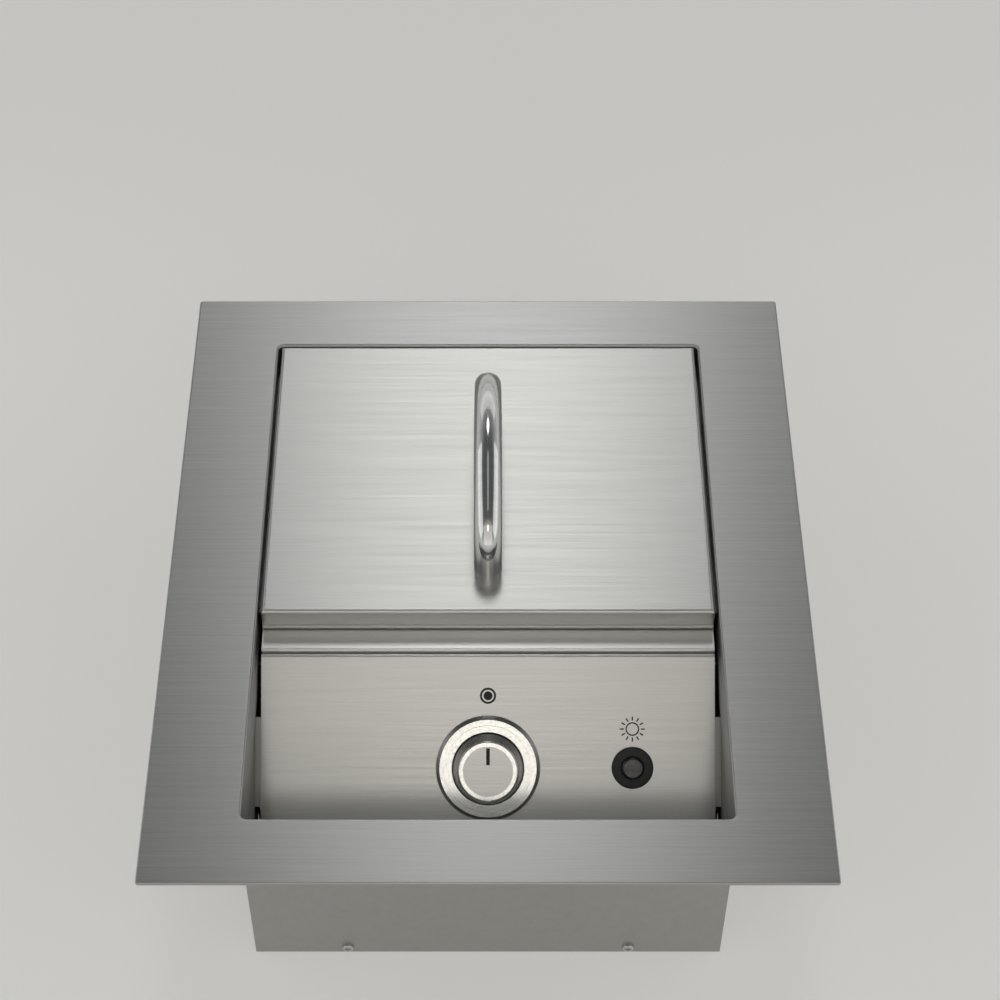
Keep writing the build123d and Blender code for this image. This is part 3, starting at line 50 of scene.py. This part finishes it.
# noise lies mostly between low and high, so that span is widened where it is used
noise = {"detail": 3.0, "low": 0.3, "high": 0.7}
print("frame loaded,", len(frame["nodes"]), "nodes")


def hexColour(code):
    channels = [int(code[i:i + 2], 16) / 255 for i in (1, 3, 5)]
    linear = [c / 12.92 if c <= 0.04045 else ((c + 0.055) / 1.055) ** 2.4 for c in channels]
    return (*linear, 1.0)


def addNode(tree, kind, settings=None, inputs=None):
    node = tree.nodes.new(kind)
    for name, value in (settings or {}).items():
        setattr(node, name, value)
    for name, value in (inputs or {}).items():
        if isinstance(value, bpy.types.NodeSocket):
            tree.links.new(value, node.inputs[name])
        else:
            node.inputs[name].default_value = value
    return node


def startMaterial(name):
    material = bpy.data.materials.new(name)
    material.use_nodes = True
    material.node_tree.nodes.clear()
    return material, material.node_tree


def endMaterial(tree, shader):
    addNode(tree, "ShaderNodeOutputMaterial", inputs={"Surface": shader.outputs["BSDF"]})


def patternNoise(tree, sizes):
    # one noise on Object coordinates, with its feature sizes given in millimetres
    place = addNode(tree, "ShaderNodeTexCoord")
    scale = [1 / (size * mm) for size in sizes]
    stretch = addNode(tree, "ShaderNodeMapping",
                      inputs={"Vector": place.outputs["Object"], "Scale": scale})
    return addNode(tree, "ShaderNodeTexNoise",
                   inputs={"Vector": stretch.outputs["Vector"], "Scale": 1.0,
                           "Detail": noise["detail"]})


def widenNoise(tree, source, low, high):
    return addNode(tree, "ShaderNodeMapRange",
                   inputs={"Value": source, "From Min": noise["low"], "From Max": noise["high"],
                           "To Min": low, "To Max": high})


def blendColours(tree, source, dark, light):
    ramp = addNode(tree, "ShaderNodeValToRGB", inputs={"Fac": source})
    ramp.color_ramp.elements[0].position = noise["low"]
    ramp.color_ramp.elements[0].color = hexColour(dark)
    ramp.color_ramp.elements[1].position = noise["high"]
    ramp.color_ramp.elements[1].color = hexColour(light)
    return ramp


def grainedSurface(name, look):
    # shared build: one pattern drives colour, roughness and a shallow bump
    material, tree = startMaterial(name)
    grain = patternNoise(tree, look["grain"])
    colour = blendColours(tree, grain.outputs["Fac"], look["dark"], look["light"])
    rough = widenNoise(tree, grain.outputs["Fac"], *look["roughness"])
    relief = addNode(tree, "ShaderNodeBump",
                     inputs={"Height": grain.outputs["Fac"], "Strength": look["bump"],
                             "Distance": look["depth"] * mm})
    shader = addNode(tree, "ShaderNodeBsdfPrincipled",
                     inputs={"Base Color": colour.outputs["Color"], "Metallic": look["metallic"],
                             "Roughness": rough.outputs["Result"],
                             "Normal": relief.outputs["Normal"]})
    if "acrossGrain" in look:
        # a ground surface spreads light across its grain, which runs along X
        across = addNode(tree, "ShaderNodeTangent", {"direction_type": "RADIAL", "axis": "X"})
        tree.links.new(across.outputs["Tangent"], shader.inputs["Tangent"])
        shader.inputs["Anisotropic"].default_value = look["acrossGrain"]
    endMaterial(tree, shader)
    return material


# Brushed 304 stainless: belt-ground along X, so it shows fine level streaks and a soft wide sheen.
# Real grain is about 0.1 mm wide; it is drawn at 0.9 mm, or it would not show in the render.
brushedLook = {"grain": (90, 0.9, 0.9), "dark": "#B8B8B5", "light": "#C4C4C1",
               "roughness": (0.30, 0.36), "bump": 0.05, "depth": 0.03, "metallic": 1.0,
               "acrossGrain": 0.75}
# The same steel on the frame with the same grain, its colour painted darker than the cover: painted shade for the
# frame's dimmer sheen away from the lamps
frameShadedLook = dict(brushedLook, dark="#A4A4A2", light="#B0B0AE")
# The same steel on the narrow ledge with the same grain, its colour painted lighter than the cover: painted light
# that keeps the strip bright where the lid's front lip shades its reflection
ledgeLitLook = dict(brushedLook, dark="#D0D0CD", light="#DADAD7")
# Mill-finish 304 sheet of the box: even, dull grey, without a ground grain
boxLook = {"grain": (6, 6, 6), "dark": "#A8A8A5", "light": "#AEAEAB",
           "roughness": (0.46, 0.50), "bump": 0.02, "depth": 0.03, "metallic": 1.0}
# Stainless of the burner pan, dulled and browned by heat
heatedLook = {"grain": (40, 3, 3), "dark": "#7B756E", "light": "#99938B",
              "roughness": (0.40, 0.55), "bump": 0.06, "depth": 0.05, "metallic": 1.0}
# Zinc-plated screws: bright, even satin
screwLook = {"grain": (2, 2, 2), "dark": "#B4B4B2", "light": "#CACAC8",
             "roughness": (0.24, 0.36), "bump": 0.04, "depth": 0.02, "metallic": 1.0}
# Die-cast aluminium: pale grey with a fine sandy skin
castLook = {"grain": (0.9, 0.9, 0.9), "dark": "#A3A4A4", "light": "#C0C1C1",
            "roughness": (0.45, 0.60), "bump": 0.25, "depth": 0.06, "metallic": 1.0}
# Drawn aluminium tube: fine lines from the die
tubeLook = {"grain": (6, 6, 6), "dark": "#B6B8B9", "light": "#CDCFD0",
            "roughness": (0.28, 0.40), "bump": 0.04, "depth": 0.03, "metallic": 1.0}
# Machined brass: warm, bright, a little tarnish in patches
brassLook = {"grain": (5, 5, 5), "dark": "#A27C38", "light": "#C6A25A",
             "roughness": (0.22, 0.38), "bump": 0.04, "depth": 0.02, "metallic": 1.0}
# Mirror-polished tube: almost no texture, only faint buffing haze
polishedLook = {"grain": (30, 4, 4), "dark": "#D2D2D0", "light": "#DCDCDA",
                "roughness": (0.09, 0.13), "bump": 0.0, "depth": 0.01, "metallic": 1.0}
# Satin plating on the zinc knob and bezel: soft even gloss
satinLook = {"grain": (1.4, 1.4, 1.4), "dark": "#B2B2AF", "light": "#C2C2BF",
             "roughness": (0.18, 0.28), "bump": 0.03, "depth": 0.02, "metallic": 1.0}
# Heat-blued electrode wire
electrodeLook = {"grain": (6, 6, 6), "dark": "#6E6762", "light": "#948C84",
                 "roughness": (0.36, 0.50), "bump": 0.05, "depth": 0.03, "metallic": 1.0}
# Cordierite burner tile: dry, chalky, warm white with darker specks
tileLook = {"grain": (1.6, 1.6, 1.6), "dark": "#CBBFA6", "light": "#E6DCC6",
            "roughness": (0.82, 0.95), "bump": 0.25, "depth": 0.10, "metallic": 0.0}
# Ceramic-fibre gasket: matted white felt
fibreLook = {"grain": (3, 3, 0.8), "dark": "#C4BEB0", "light": "#E4DFD2",
             "roughness": (0.88, 0.98), "bump": 0.5, "depth": 0.3, "metallic": 0.0}
# Glazed alumina insulator: smooth, glossy off-white
glazeLook = {"grain": (9, 9, 9), "dark": "#DCD8CC", "light": "#EBE8DF",
             "roughness": (0.10, 0.18), "bump": 0.02, "depth": 0.05, "metallic": 0.0}
# Moulded black ABS with a spark-eroded skin
absLook = {"grain": (0.7, 0.7, 0.7), "dark": "#17181A", "light": "#222325",
           "roughness": (0.42, 0.56), "bump": 0.20, "depth": 0.04, "metallic": 0.0}
# Polished black ABS of the push button
buttonLook = {"grain": (4, 4, 4), "dark": "#141416", "light": "#1D1D20",
              "roughness": (0.20, 0.30), "bump": 0.03, "depth": 0.03, "metallic": 0.0}
# Screen-printed black enamel: flat and slightly rough
enamelLook = {"grain": (0.6, 0.6, 0.6), "dark": "#121212", "light": "#1C1C1C",
              "roughness": (0.50, 0.65), "bump": 0.08, "depth": 0.02, "metallic": 0.0}
# Shrink jacket of the battery: smooth dark film
jacketLook = {"grain": (8, 8, 8), "dark": "#2B3036", "light": "#363C43",
              "roughness": (0.26, 0.36), "bump": 0.03, "depth": 0.03, "metallic": 0.0}
# EPDM rubber: matt black with a dusty bloom
rubberLook = {"grain": (1.5, 1.5, 1.5), "dark": "#161616", "light": "#252525",
              "roughness": (0.70, 0.85), "bump": 0.20, "depth": 0.05, "metallic": 0.0}

brushedStainless = grainedSurface("brushed_stainless", brushedLook)
boxSheet = grainedSurface("mill_stainless_sheet", boxLook)
zincScrews = grainedSurface("zinc_plated_steel", screwLook)
satinPlate = grainedSurface("satin_plated_zinc", satinLook)
burnerTile = grainedSurface("cordierite_tile", tileLook)
printedEnamel = grainedSurface("printed_black_enamel", enamelLook)
brassTurned = grainedSurface("machined_brass", brassLook)
finishes = {
    "frame_steel": grainedSurface("brushed_stainless_frame_painted_shade", frameShadedLook),
    "cover_steel": brushedStainless,
    "panel_steel": brushedStainless,
    "ledge_steel": grainedSurface("brushed_stainless_strip_painted_light", ledgeLitLook),
    "box_steel": boxSheet,
    "burner_steel": grainedSurface("heated_stainless", heatedLook),
    "screw_steel": zincScrews,
    "stem_steel": zincScrews,
    "gasket_fibre": grainedSurface("ceramic_fibre_felt", fibreLook),
    "tile_ceramic": burnerTile,
    "insulator_ceramic": grainedSurface("glazed_alumina", glazeLook),
    "electrode_steel": grainedSurface("heat_dulled_wire", electrodeLook),
    "cast_aluminium": grainedSurface("die_cast_aluminium", castLook),
    "tube_aluminium": grainedSurface("drawn_aluminium_tube", tubeLook),
    "brass": brassTurned,
    "handle_chrome": grainedSurface("polished_chrome", polishedLook),
    "bezel_chrome": satinPlate,
    "knob_chrome": satinPlate,
    "knob_face": brushedStainless,
    "pointer_black": printedEnamel,
    "igniter_black": grainedSurface("moulded_black_abs", absLook),
    "button_black": grainedSurface("polished_black_abs", buttonLook),
    "battery_jacket": grainedSurface("battery_shrink_film", jacketLook),
    "black_rubber": grainedSurface("epdm_rubber", rubberLook),
    "grid_steel": grainedSurface("drawn_stainless_rod", dict(brushedLook, grain=(4, 4, 4))),
}
for entry in frame["record"]["subparts"]:
    for slot in frame["nodes"][entry["node"]].material_slots:
        slot.material = finishes[entry["material_slot"]]
print("finishes set,", len(finishes), "slots")


def pieceFrom(mesh, name, material, body):
    piece = bpy.data.objects.new(name, mesh)
    bpy.context.scene.collection.objects.link(piece)
    if not mesh.materials:
        mesh.materials.append(material)
    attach(piece, body)
    return piece


def meshFrom(build, name):
    mesh = bpy.data.meshes.new(name)
    shape = bmesh.new()
    build(shape)
    bmesh.ops.recalc_face_normals(shape, faces=shape.faces)
    shape.to_mesh(mesh)
    shape.free()
    return mesh


def startTree(name, sizes):
    tree = bpy.data.node_groups.new(name, "GeometryNodeTree")
    tree.interface.new_socket("Geometry", in_out="OUTPUT", socket_type="NodeSocketGeometry")
    sockets = {}
    for label, kind in sizes.items():
        socket = tree.interface.new_socket(label, in_out="INPUT", socket_type=kind)
        sockets[label] = socket.identifier
    return tree, sockets, tree.nodes.new("NodeGroupInput")


def endTree(tree, geometry, material):
    real = addNode(tree, "GeometryNodeRealizeInstances", inputs={"Geometry": geometry})
    joined = addNode(tree, "GeometryNodeMergeByDistance",
                     inputs={"Geometry": real.outputs["Geometry"], "Distance": mergeGap})
    painted = addNode(tree, "GeometryNodeSetMaterial",
                      inputs={"Geometry": joined.outputs["Geometry"], "Material": material})
    addNode(tree, "NodeGroupOutput", inputs={"Geometry": painted.outputs["Geometry"]})


def meshFromTree(tree, sockets, values, name):
    # runs the tree on an empty carrier and keeps only the plain mesh
    carrier = bpy.data.objects.new(name + "_carrier", bpy.data.meshes.new(name + "_carrier"))
    bpy.context.scene.collection.objects.link(carrier)
    modifier = carrier.modifiers.new("build", "NODES")
    modifier.node_group = tree
    for label, value in values.items():
        modifier[sockets[label]] = value
    depsgraph = bpy.context.evaluated_depsgraph_get()
    mesh = bpy.data.meshes.new_from_object(carrier.evaluated_get(depsgraph))
    carrier.modifiers.remove(modifier)
    bpy.data.objects.remove(carrier)
    mesh.name = name
    return mesh


# Burner tiles with their flame holes. Real holes are about 1.2 mm wide on a 2 mm pitch;
# they are drawn coarser so that they show.
tile = {"across": 35, "along": 48, "holeRadius": 1.0, "holeDepth": 3.0, "gap": 2.0, "sides": 8,
        "topFacing": 0.9}
tileLow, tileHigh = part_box("ceramic_tiles")
tileWidth = (tileHigh.x - tileLow.x - tile["gap"] * mm) / 2
tileSize = Vector((tileWidth, tileHigh.y - tileLow.y, tileHigh.z - tileLow.z))
cellSize = (tileSize.x / tile["across"], tileSize.y / tile["along"])


def holeCell(shape):
    halfX = cellSize[0] / 2
    halfY = cellSize[1] / 2
    corners = [shape.verts.new((x, y, 0)) for x, y in
               ((halfX, halfY), (-halfX, halfY), (-halfX, -halfY), (halfX, -halfY))]
    rim = []
    floor = []
    for step in range(tile["sides"]):
        angle = 2 * math.pi * (step + 0.5) / tile["sides"]
        x = tile["holeRadius"] * mm * math.cos(angle)
        y = tile["holeRadius"] * mm * math.sin(angle)
        rim.append(shape.verts.new((x, y, 0)))
        floor.append(shape.verts.new((x, y, -tile["holeDepth"] * mm)))
    for i in range(4):
        # each corner has two rim points beside it
        first, second, third = rim[2 * i], rim[2 * i + 1], rim[(2 * i + 2) % tile["sides"]]
        shape.faces.new((corners[i], second, first))
        shape.faces.new((corners[i], corners[(i + 1) % 4], third, second))
    for i in range(tile["sides"]):
        j = (i + 1) % tile["sides"]
        shape.faces.new((rim[i], rim[j], floor[j], floor[i]))
    shape.faces.new(floor)


cellMesh = bpy.data.meshes.new("hole_cell")
cellShape = bmesh.new()
holeCell(cellShape)
cellShape.to_mesh(cellMesh)
cellShape.free()
cellObject = bpy.data.objects.new("hole_cell", cellMesh)

tileTree, tileSockets, tileInput = startTree("burner tile", {
    "Size": "NodeSocketVector", "Across": "NodeSocketInt", "Along": "NodeSocketInt",
    "Cell": "NodeSocketObject"})
sizeParts = addNode(tileTree, "ShaderNodeSeparateXYZ", inputs={"Vector": tileInput.outputs["Size"]})
acrossVerts = addNode(tileTree, "ShaderNodeMath", {"operation": "ADD"},
                      {0: tileInput.outputs["Across"], 1: 1.0})
alongVerts = addNode(tileTree, "ShaderNodeMath", {"operation": "ADD"},
                     {0: tileInput.outputs["Along"], 1: 1.0})
body = addNode(tileTree, "GeometryNodeMeshCube", inputs={
    "Size": tileInput.outputs["Size"], "Vertices X": acrossVerts.outputs["Value"],
    "Vertices Y": alongVerts.outputs["Value"], "Vertices Z": 2})
facing = addNode(tileTree, "ShaderNodeSeparateXYZ",
                 inputs={"Vector": addNode(tileTree, "GeometryNodeInputNormal").outputs["Normal"]})
isTop = addNode(tileTree, "FunctionNodeCompare",
                {"data_type": "FLOAT", "operation": "GREATER_THAN"},
                {"A": facing.outputs["Z"], "B": tile["topFacing"]})
openBody = addNode(tileTree, "GeometryNodeDeleteGeometry", {"domain": "FACE"},
                   {"Geometry": body.outputs["Mesh"], "Selection": isTop.outputs["Result"]})
cellGrid = addNode(tileTree, "GeometryNodeMeshGrid", inputs={
    "Size X": sizeParts.outputs["X"], "Size Y": sizeParts.outputs["Y"],
    "Vertices X": acrossVerts.outputs["Value"], "Vertices Y": alongVerts.outputs["Value"]})
cellPoints = addNode(tileTree, "GeometryNodeMeshToPoints", {"mode": "FACES"},
                     {"Mesh": cellGrid.outputs["Mesh"]})
cellInfo = addNode(tileTree, "GeometryNodeObjectInfo", inputs={"Object": tileInput.outputs["Cell"]})
cells = addNode(tileTree, "GeometryNodeInstanceOnPoints", inputs={
    "Points": cellPoints.outputs["Points"], "Instance": cellInfo.outputs["Geometry"]})
halfHeight = addNode(tileTree, "ShaderNodeMath", {"operation": "MULTIPLY"},
                     {0: sizeParts.outputs["Z"], 1: 0.5})
lift = addNode(tileTree, "ShaderNodeCombineXYZ", inputs={"Z": halfHeight.outputs["Value"]})
top = addNode(tileTree, "GeometryNodeTransform", inputs={
    "Geometry": cells.outputs["Instances"], "Translation": lift.outputs["Vector"]})
tileJoin = addNode(tileTree, "GeometryNodeJoinGeometry")
tileTree.links.new(openBody.outputs["Geometry"], tileJoin.inputs["Geometry"])
tileTree.links.new(top.outputs["Geometry"], tileJoin.inputs["Geometry"])
endTree(tileTree, tileJoin.outputs["Geometry"], burnerTile)
tileMiddle = (tileLow + tileHigh) / 2
for side, label in ((-1, "left"), (1, "right")):
    tileMesh = meshFromTree(tileTree, tileSockets, {
        "Size": tileSize, "Across": tile["across"], "Along": tile["along"], "Cell": cellObject},
        "burner_tile_" + label)
    shift = side * (tileSize.x + tile["gap"] * mm) / 2
    tileMesh.transform(Matrix.Translation(tileMiddle + Vector((shift, 0, 0))))
    tilePiece = pieceFrom(tileMesh, "burner_tile_" + label, burnerTile, "base")
    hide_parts("ceramic_tiles")
bpy.data.objects.remove(cellObject)
print("burner tiles made")


# Thread on the gas inlet, 18 turns to the inch
thread = {"pitch": 1.41, "length": 17.0, "depth": 0.34, "steps": 40, "radius": 7.9, "sides": 6}
inletLow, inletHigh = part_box("gas_inlet")
threadTree, threadSockets, threadInput = startTree("inlet thread", {
    "Turns": "NodeSocketFloat", "Radius": "NodeSocketFloat", "Length": "NodeSocketFloat",
    "Depth": "NodeSocketFloat", "Steps": "NodeSocketInt"})
threadPath = addNode(threadTree, "GeometryNodeCurveSpiral", inputs={
    "Resolution": threadInput.outputs["Steps"], "Rotations": threadInput.outputs["Turns"],
    "Start Radius": threadInput.outputs["Radius"], "End Radius": threadInput.outputs["Radius"],
    "Height": threadInput.outputs["Length"]})
threadForm = addNode(threadTree, "GeometryNodeCurvePrimitiveCircle", inputs={
    "Resolution": thread["sides"], "Radius": threadInput.outputs["Depth"]})
threadSweep = addNode(threadTree, "GeometryNodeCurveToMesh", inputs={
    "Curve": threadPath.outputs["Curve"], "Profile Curve": threadForm.outputs["Curve"],
    "Fill Caps": True})
endTree(threadTree, threadSweep.outputs["Mesh"], brassTurned)
threadMesh = meshFromTree(threadTree, threadSockets, {
    "Turns": thread["length"] / thread["pitch"], "Radius": thread["radius"] * mm,
    "Length": thread["length"] * mm, "Depth": thread["depth"] * mm, "Steps": thread["steps"]},
    "inlet_thread")
inletMiddle = (inletLow + inletHigh) / 2
threadStart = Vector((inletMiddle.x, inletHigh.y, inletMiddle.z))
threadMesh.transform(Matrix.Translation(threadStart) @ Matrix.Rotation(math.radians(90), 4, "X"))
pieceFrom(threadMesh, "inlet_thread", brassTurned, "base")
print("inlet thread made")


# Printed marks on the control panel: off sign over the knob, light sign over the button
marks = {"rise": 0.08, "sink": 0.02,
         "offSlope": 30.6, "offRing": 5.45, "offLine": 1.4, "offDot": 3.01,
         "lightX": 97.0, "lightSlope": 52.9, "lightRing": 4.6, "lightLine": 0.9,
         "rayStart": 5.7, "rayEnd": 8.4, "rays": 12}
turnAxis = next(j["axis"] for j in frame["joints"] if j["name"] == "knob_turn")
panelNormal = Vector(turnAxis).normalized()
ledgeLow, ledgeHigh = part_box("front_ledge")
panelUp = panelNormal.cross(Vector((1, 0, 0)))
panelPlace = Matrix((
    (1, panelUp.x, panelNormal.x, 0),
    (0, panelUp.y, panelNormal.y, ledgeLow.y),
    (0, panelUp.z, panelNormal.z, ledgeHigh.z),
    (0, 0, 0, 1)))


def onPanel(x, slope):
    return panelPlace @ Matrix.Translation((x * mm, -slope * mm, 0))


def ringForm(shape, inner, outer, steps=64):
    low = -marks["sink"] * mm
    high = marks["rise"] * mm
    loops = []
    for radius, z in ((outer, low), (outer, high), (inner, high), (inner, low)):
        loop = []
        for step in range(steps):
            angle = 2 * math.pi * step / steps
            x = radius * mm * math.cos(angle)
            y = radius * mm * math.sin(angle)
            loop.append(shape.verts.new((x, y, z)))
        loops.append(loop)
    for k in range(4):
        here, over = loops[k], loops[(k + 1) % 4]
        for step in range(steps):
            ahead = (step + 1) % steps
            shape.faces.new((here[step], here[ahead], over[ahead], over[step]))


def discForm(shape, radius, steps=48):
    result = bmesh.ops.create_cone(shape, cap_ends=True, segments=steps, radius1=radius * mm,
                                   radius2=radius * mm, depth=(marks["rise"] + marks["sink"]) * mm)
    bmesh.ops.translate(shape, verts=result["verts"],
                        vec=(0, 0, (marks["rise"] - marks["sink"]) / 2 * mm))


def offSign(shape):
    ringForm(shape, marks["offRing"] - marks["offLine"], marks["offRing"])
    discForm(shape, marks["offDot"])


offMesh = meshFrom(offSign, "off_sign")
offMesh.transform(onPanel(0, marks["offSlope"]))
pieceFrom(offMesh, "off_sign", printedEnamel, "base")

rayTree, raySockets, rayInput = startTree("light sign rays", {
    "Rays": "NodeSocketInt", "Start": "NodeSocketFloat", "End": "NodeSocketFloat",
    "Line": "NodeSocketFloat", "Height": "NodeSocketFloat"})
rayRadius = addNode(rayTree, "ShaderNodeMath", {"operation": "ADD"},
                    {0: rayInput.outputs["Start"], 1: rayInput.outputs["End"]})
rayMiddle = addNode(rayTree, "ShaderNodeMath", {"operation": "MULTIPLY"},
                    {0: rayRadius.outputs["Value"], 1: 0.5})
rayLength = addNode(rayTree, "ShaderNodeMath", {"operation": "SUBTRACT"},
                    {0: rayInput.outputs["End"], 1: rayInput.outputs["Start"]})
raySize = addNode(rayTree, "ShaderNodeCombineXYZ", inputs={
    "X": rayLength.outputs["Value"], "Y": rayInput.outputs["Line"],
    "Z": rayInput.outputs["Height"]})
rayBar = addNode(rayTree, "GeometryNodeMeshCube", inputs={"Size": raySize.outputs["Vector"]})
rayCircle = addNode(rayTree, "GeometryNodeMeshCircle", inputs={
    "Vertices": rayInput.outputs["Rays"], "Radius": rayMiddle.outputs["Value"]})
rayIndex = addNode(rayTree, "GeometryNodeInputIndex")
rayStep = addNode(rayTree, "ShaderNodeMath", {"operation": "DIVIDE"},
                  {0: 2 * math.pi, 1: rayInput.outputs["Rays"]})
rayTurn = addNode(rayTree, "ShaderNodeMath", {"operation": "MULTIPLY"},
                  {0: rayIndex.outputs["Index"], 1: rayStep.outputs["Value"]})
rayAngle = addNode(rayTree, "ShaderNodeCombineXYZ", inputs={"Z": rayTurn.outputs["Value"]})
rayBars = addNode(rayTree, "GeometryNodeInstanceOnPoints", inputs={
    "Points": rayCircle.outputs["Mesh"], "Instance": rayBar.outputs["Mesh"],
    "Rotation": rayAngle.outputs["Vector"]})
endTree(rayTree, rayBars.outputs["Instances"], printedEnamel)
rayMesh = meshFromTree(rayTree, raySockets, {
    "Rays": marks["rays"], "Start": marks["rayStart"] * mm, "End": marks["rayEnd"] * mm,
    "Line": marks["lightLine"] * mm, "Height": (marks["rise"] + marks["sink"]) * mm}, "light_rays")
rayMesh.transform(onPanel(marks["lightX"], marks["lightSlope"])
                  @ Matrix.Translation((0, 0, (marks["rise"] - marks["sink"]) / 2 * mm)))
pieceFrom(rayMesh, "light_rays", printedEnamel, "base")
lightMesh = meshFrom(lambda shape: ringForm(shape, marks["lightRing"] - marks["lightLine"],
                                            marks["lightRing"]), "light_ring")
lightMesh.transform(onPanel(marks["lightX"], marks["lightSlope"]))
pieceFrom(lightMesh, "light_ring", printedEnamel, "base")
print("panel marks made")


# Floor, lamps and camera
stage = {"floorSize": 30.0, "floorDrop": 0.4, "floorColour": "#DEDDDA", "floorRoughness": 0.9,
         "floorGlow": 0.35, "wallColour": "#D2D3D4", "ceilingColour": "#5C5D5E", "ceilingStart": 0.8}
floorMesh = meshFrom(lambda shape: bmesh.ops.create_grid(
    shape, x_segments=1, y_segments=1, size=stage["floorSize"] / 2), "floor")
floorMesh.transform(Matrix.Translation((0, 0, -stage["floorDrop"] * mm)))
floor = bpy.data.objects.new("floor", floorMesh)
bpy.context.scene.collection.objects.link(floor)
floorMaterial, floorTree = startMaterial("pale_studio_floor")
floorShader = addNode(floorTree, "ShaderNodeBsdfPrincipled", inputs={
    "Base Color": hexColour(stage["floorColour"]), "Roughness": stage["floorRoughness"]})
# a little glow for what the camera and the metal see keeps the floor pale under soft lamps
seenBy = addNode(floorTree, "ShaderNodeLightPath")
seen = addNode(floorTree, "ShaderNodeMath", {"operation": "ADD", "use_clamp": True},
               {0: seenBy.outputs["Is Camera Ray"], 1: seenBy.outputs["Is Glossy Ray"]})
glow = addNode(floorTree, "ShaderNodeMath", {"operation": "MULTIPLY"},
               {0: seen.outputs["Value"], 1: stage["floorGlow"]})
floorShader.inputs["Emission Color"].default_value = hexColour(stage["floorColour"])
floorTree.links.new(glow.outputs["Value"], floorShader.inputs["Emission Strength"])
endMaterial(floorTree, floorShader)
floorMesh.materials.append(floorMaterial)

# pale studio walls under a dark ceiling, blended by how high a ray points
world = bpy.data.worlds.new("studio")
bpy.context.scene.world = world
world.use_nodes = True
sky = world.node_tree
skyPlace = addNode(sky, "ShaderNodeTexCoord")
skyHeight = addNode(sky, "ShaderNodeSeparateXYZ", inputs={"Vector": skyPlace.outputs["Generated"]})
skyRamp = addNode(sky, "ShaderNodeValToRGB", inputs={"Fac": skyHeight.outputs["Z"]})
skyRamp.color_ramp.elements[0].color = hexColour(stage["wallColour"])
skyRamp.color_ramp.elements[1].position = stage["ceilingStart"]
skyRamp.color_ramp.elements[1].color = hexColour(stage["ceilingColour"])
sky.links.new(skyRamp.outputs["Color"], sky.nodes["Background"].inputs["Color"])

# two narrow softboxes light the cover and the panel, and broad bands fill the rest
lamps = {
    "cover_softbox": {"place": (0.0, 1.29, 1.605), "aim": (0, 0.05, 0.165), "spread": 16,
                      "size": (1.20, 0.90), "power": 0.19, "colour": "#FFFFFF"},
    "panel_softbox": {"place": (0.0, -1.436, 1.626), "aim": (0, -0.12, 0.12), "spread": 16,
                      "size": (1.20, 0.90), "power": 0.10, "colour": "#FFFBF5"},
    "back_band": {"place": (0.0, 1.95, 0.95), "aim": (0, 0.08, 0.165), "spread": 180,
                  "size": (3.00, 0.75), "power": 2.4, "colour": "#FFFFFF"},
    "front_band": {"place": (0.0, -1.90, 1.45), "aim": (0, 0, 0.165), "spread": 180,
                   "size": (3.00, 2.10), "power": 8.5, "colour": "#FFF8EE"},
    "left_band": {"place": (-1.80, -0.10, 1.05), "aim": (0, -0.10, 0.165), "spread": 180,
                  "size": (2.60, 1.30), "power": 6.0, "colour": "#FFFFFF"},
    "right_band": {"place": (1.80, -0.10, 1.05), "aim": (0, -0.10, 0.165), "spread": 180,
                   "size": (2.60, 1.30), "power": 6.0, "colour": "#FFFFFF"},
    "top_strip": {"place": (0.0, -0.10, 2.20), "aim": (0, -0.10, 0.165), "spread": 180,
                  "size": (0.35, 1.60), "power": 0.62, "colour": "#FFFFFF"},
}
for name, setting in lamps.items():
    lampData = bpy.data.lights.new(name, "AREA")
    lampData.shape = "RECTANGLE"
    lampData.size, lampData.size_y = setting["size"]
    lampData.spread = math.radians(setting["spread"])
    lampData.energy = setting["power"]
    lampData.color = hexColour(setting["colour"])[:3]
    lamp = bpy.data.objects.new(name, lampData)
    lamp.location = setting["place"]
    towards = Vector(setting["aim"]) - Vector(setting["place"])
    lamp.rotation_euler = towards.to_track_quat("-Z", "Y").to_euler()
    lamp.visible_camera = False
    bpy.context.scene.collection.objects.link(lamp)

view = {"lens": 82.7, "sensor": 36, "shift": 0.012, "distance": 1606.8, "elevation": 50.0,
        "frontHem": 1.2, "behindEdge": 98.3}
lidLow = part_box("lid_shell")[0]
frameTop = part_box("top_frame")[1].z
target = Vector((0, lidLow.y + (view["frontHem"] + view["behindEdge"]) * mm, frameTop))
rise = math.radians(view["elevation"])
cameraData = bpy.data.cameras.new("camera")
cameraData.lens = view["lens"]
cameraData.sensor_width = view["sensor"]
cameraData.shift_x = view["shift"]
camera = bpy.data.objects.new("camera", cameraData)
camera.location = target + view["distance"] * mm * Vector((0, -math.cos(rise), math.sin(rise)))
camera.rotation_euler = (target - camera.location).to_track_quat("-Z", "Y").to_euler()
bpy.context.scene.collection.objects.link(camera)
bpy.context.scene.camera = camera
bpy.context.scene.view_settings.view_transform = "Standard"
print("stage, lamps and camera set")
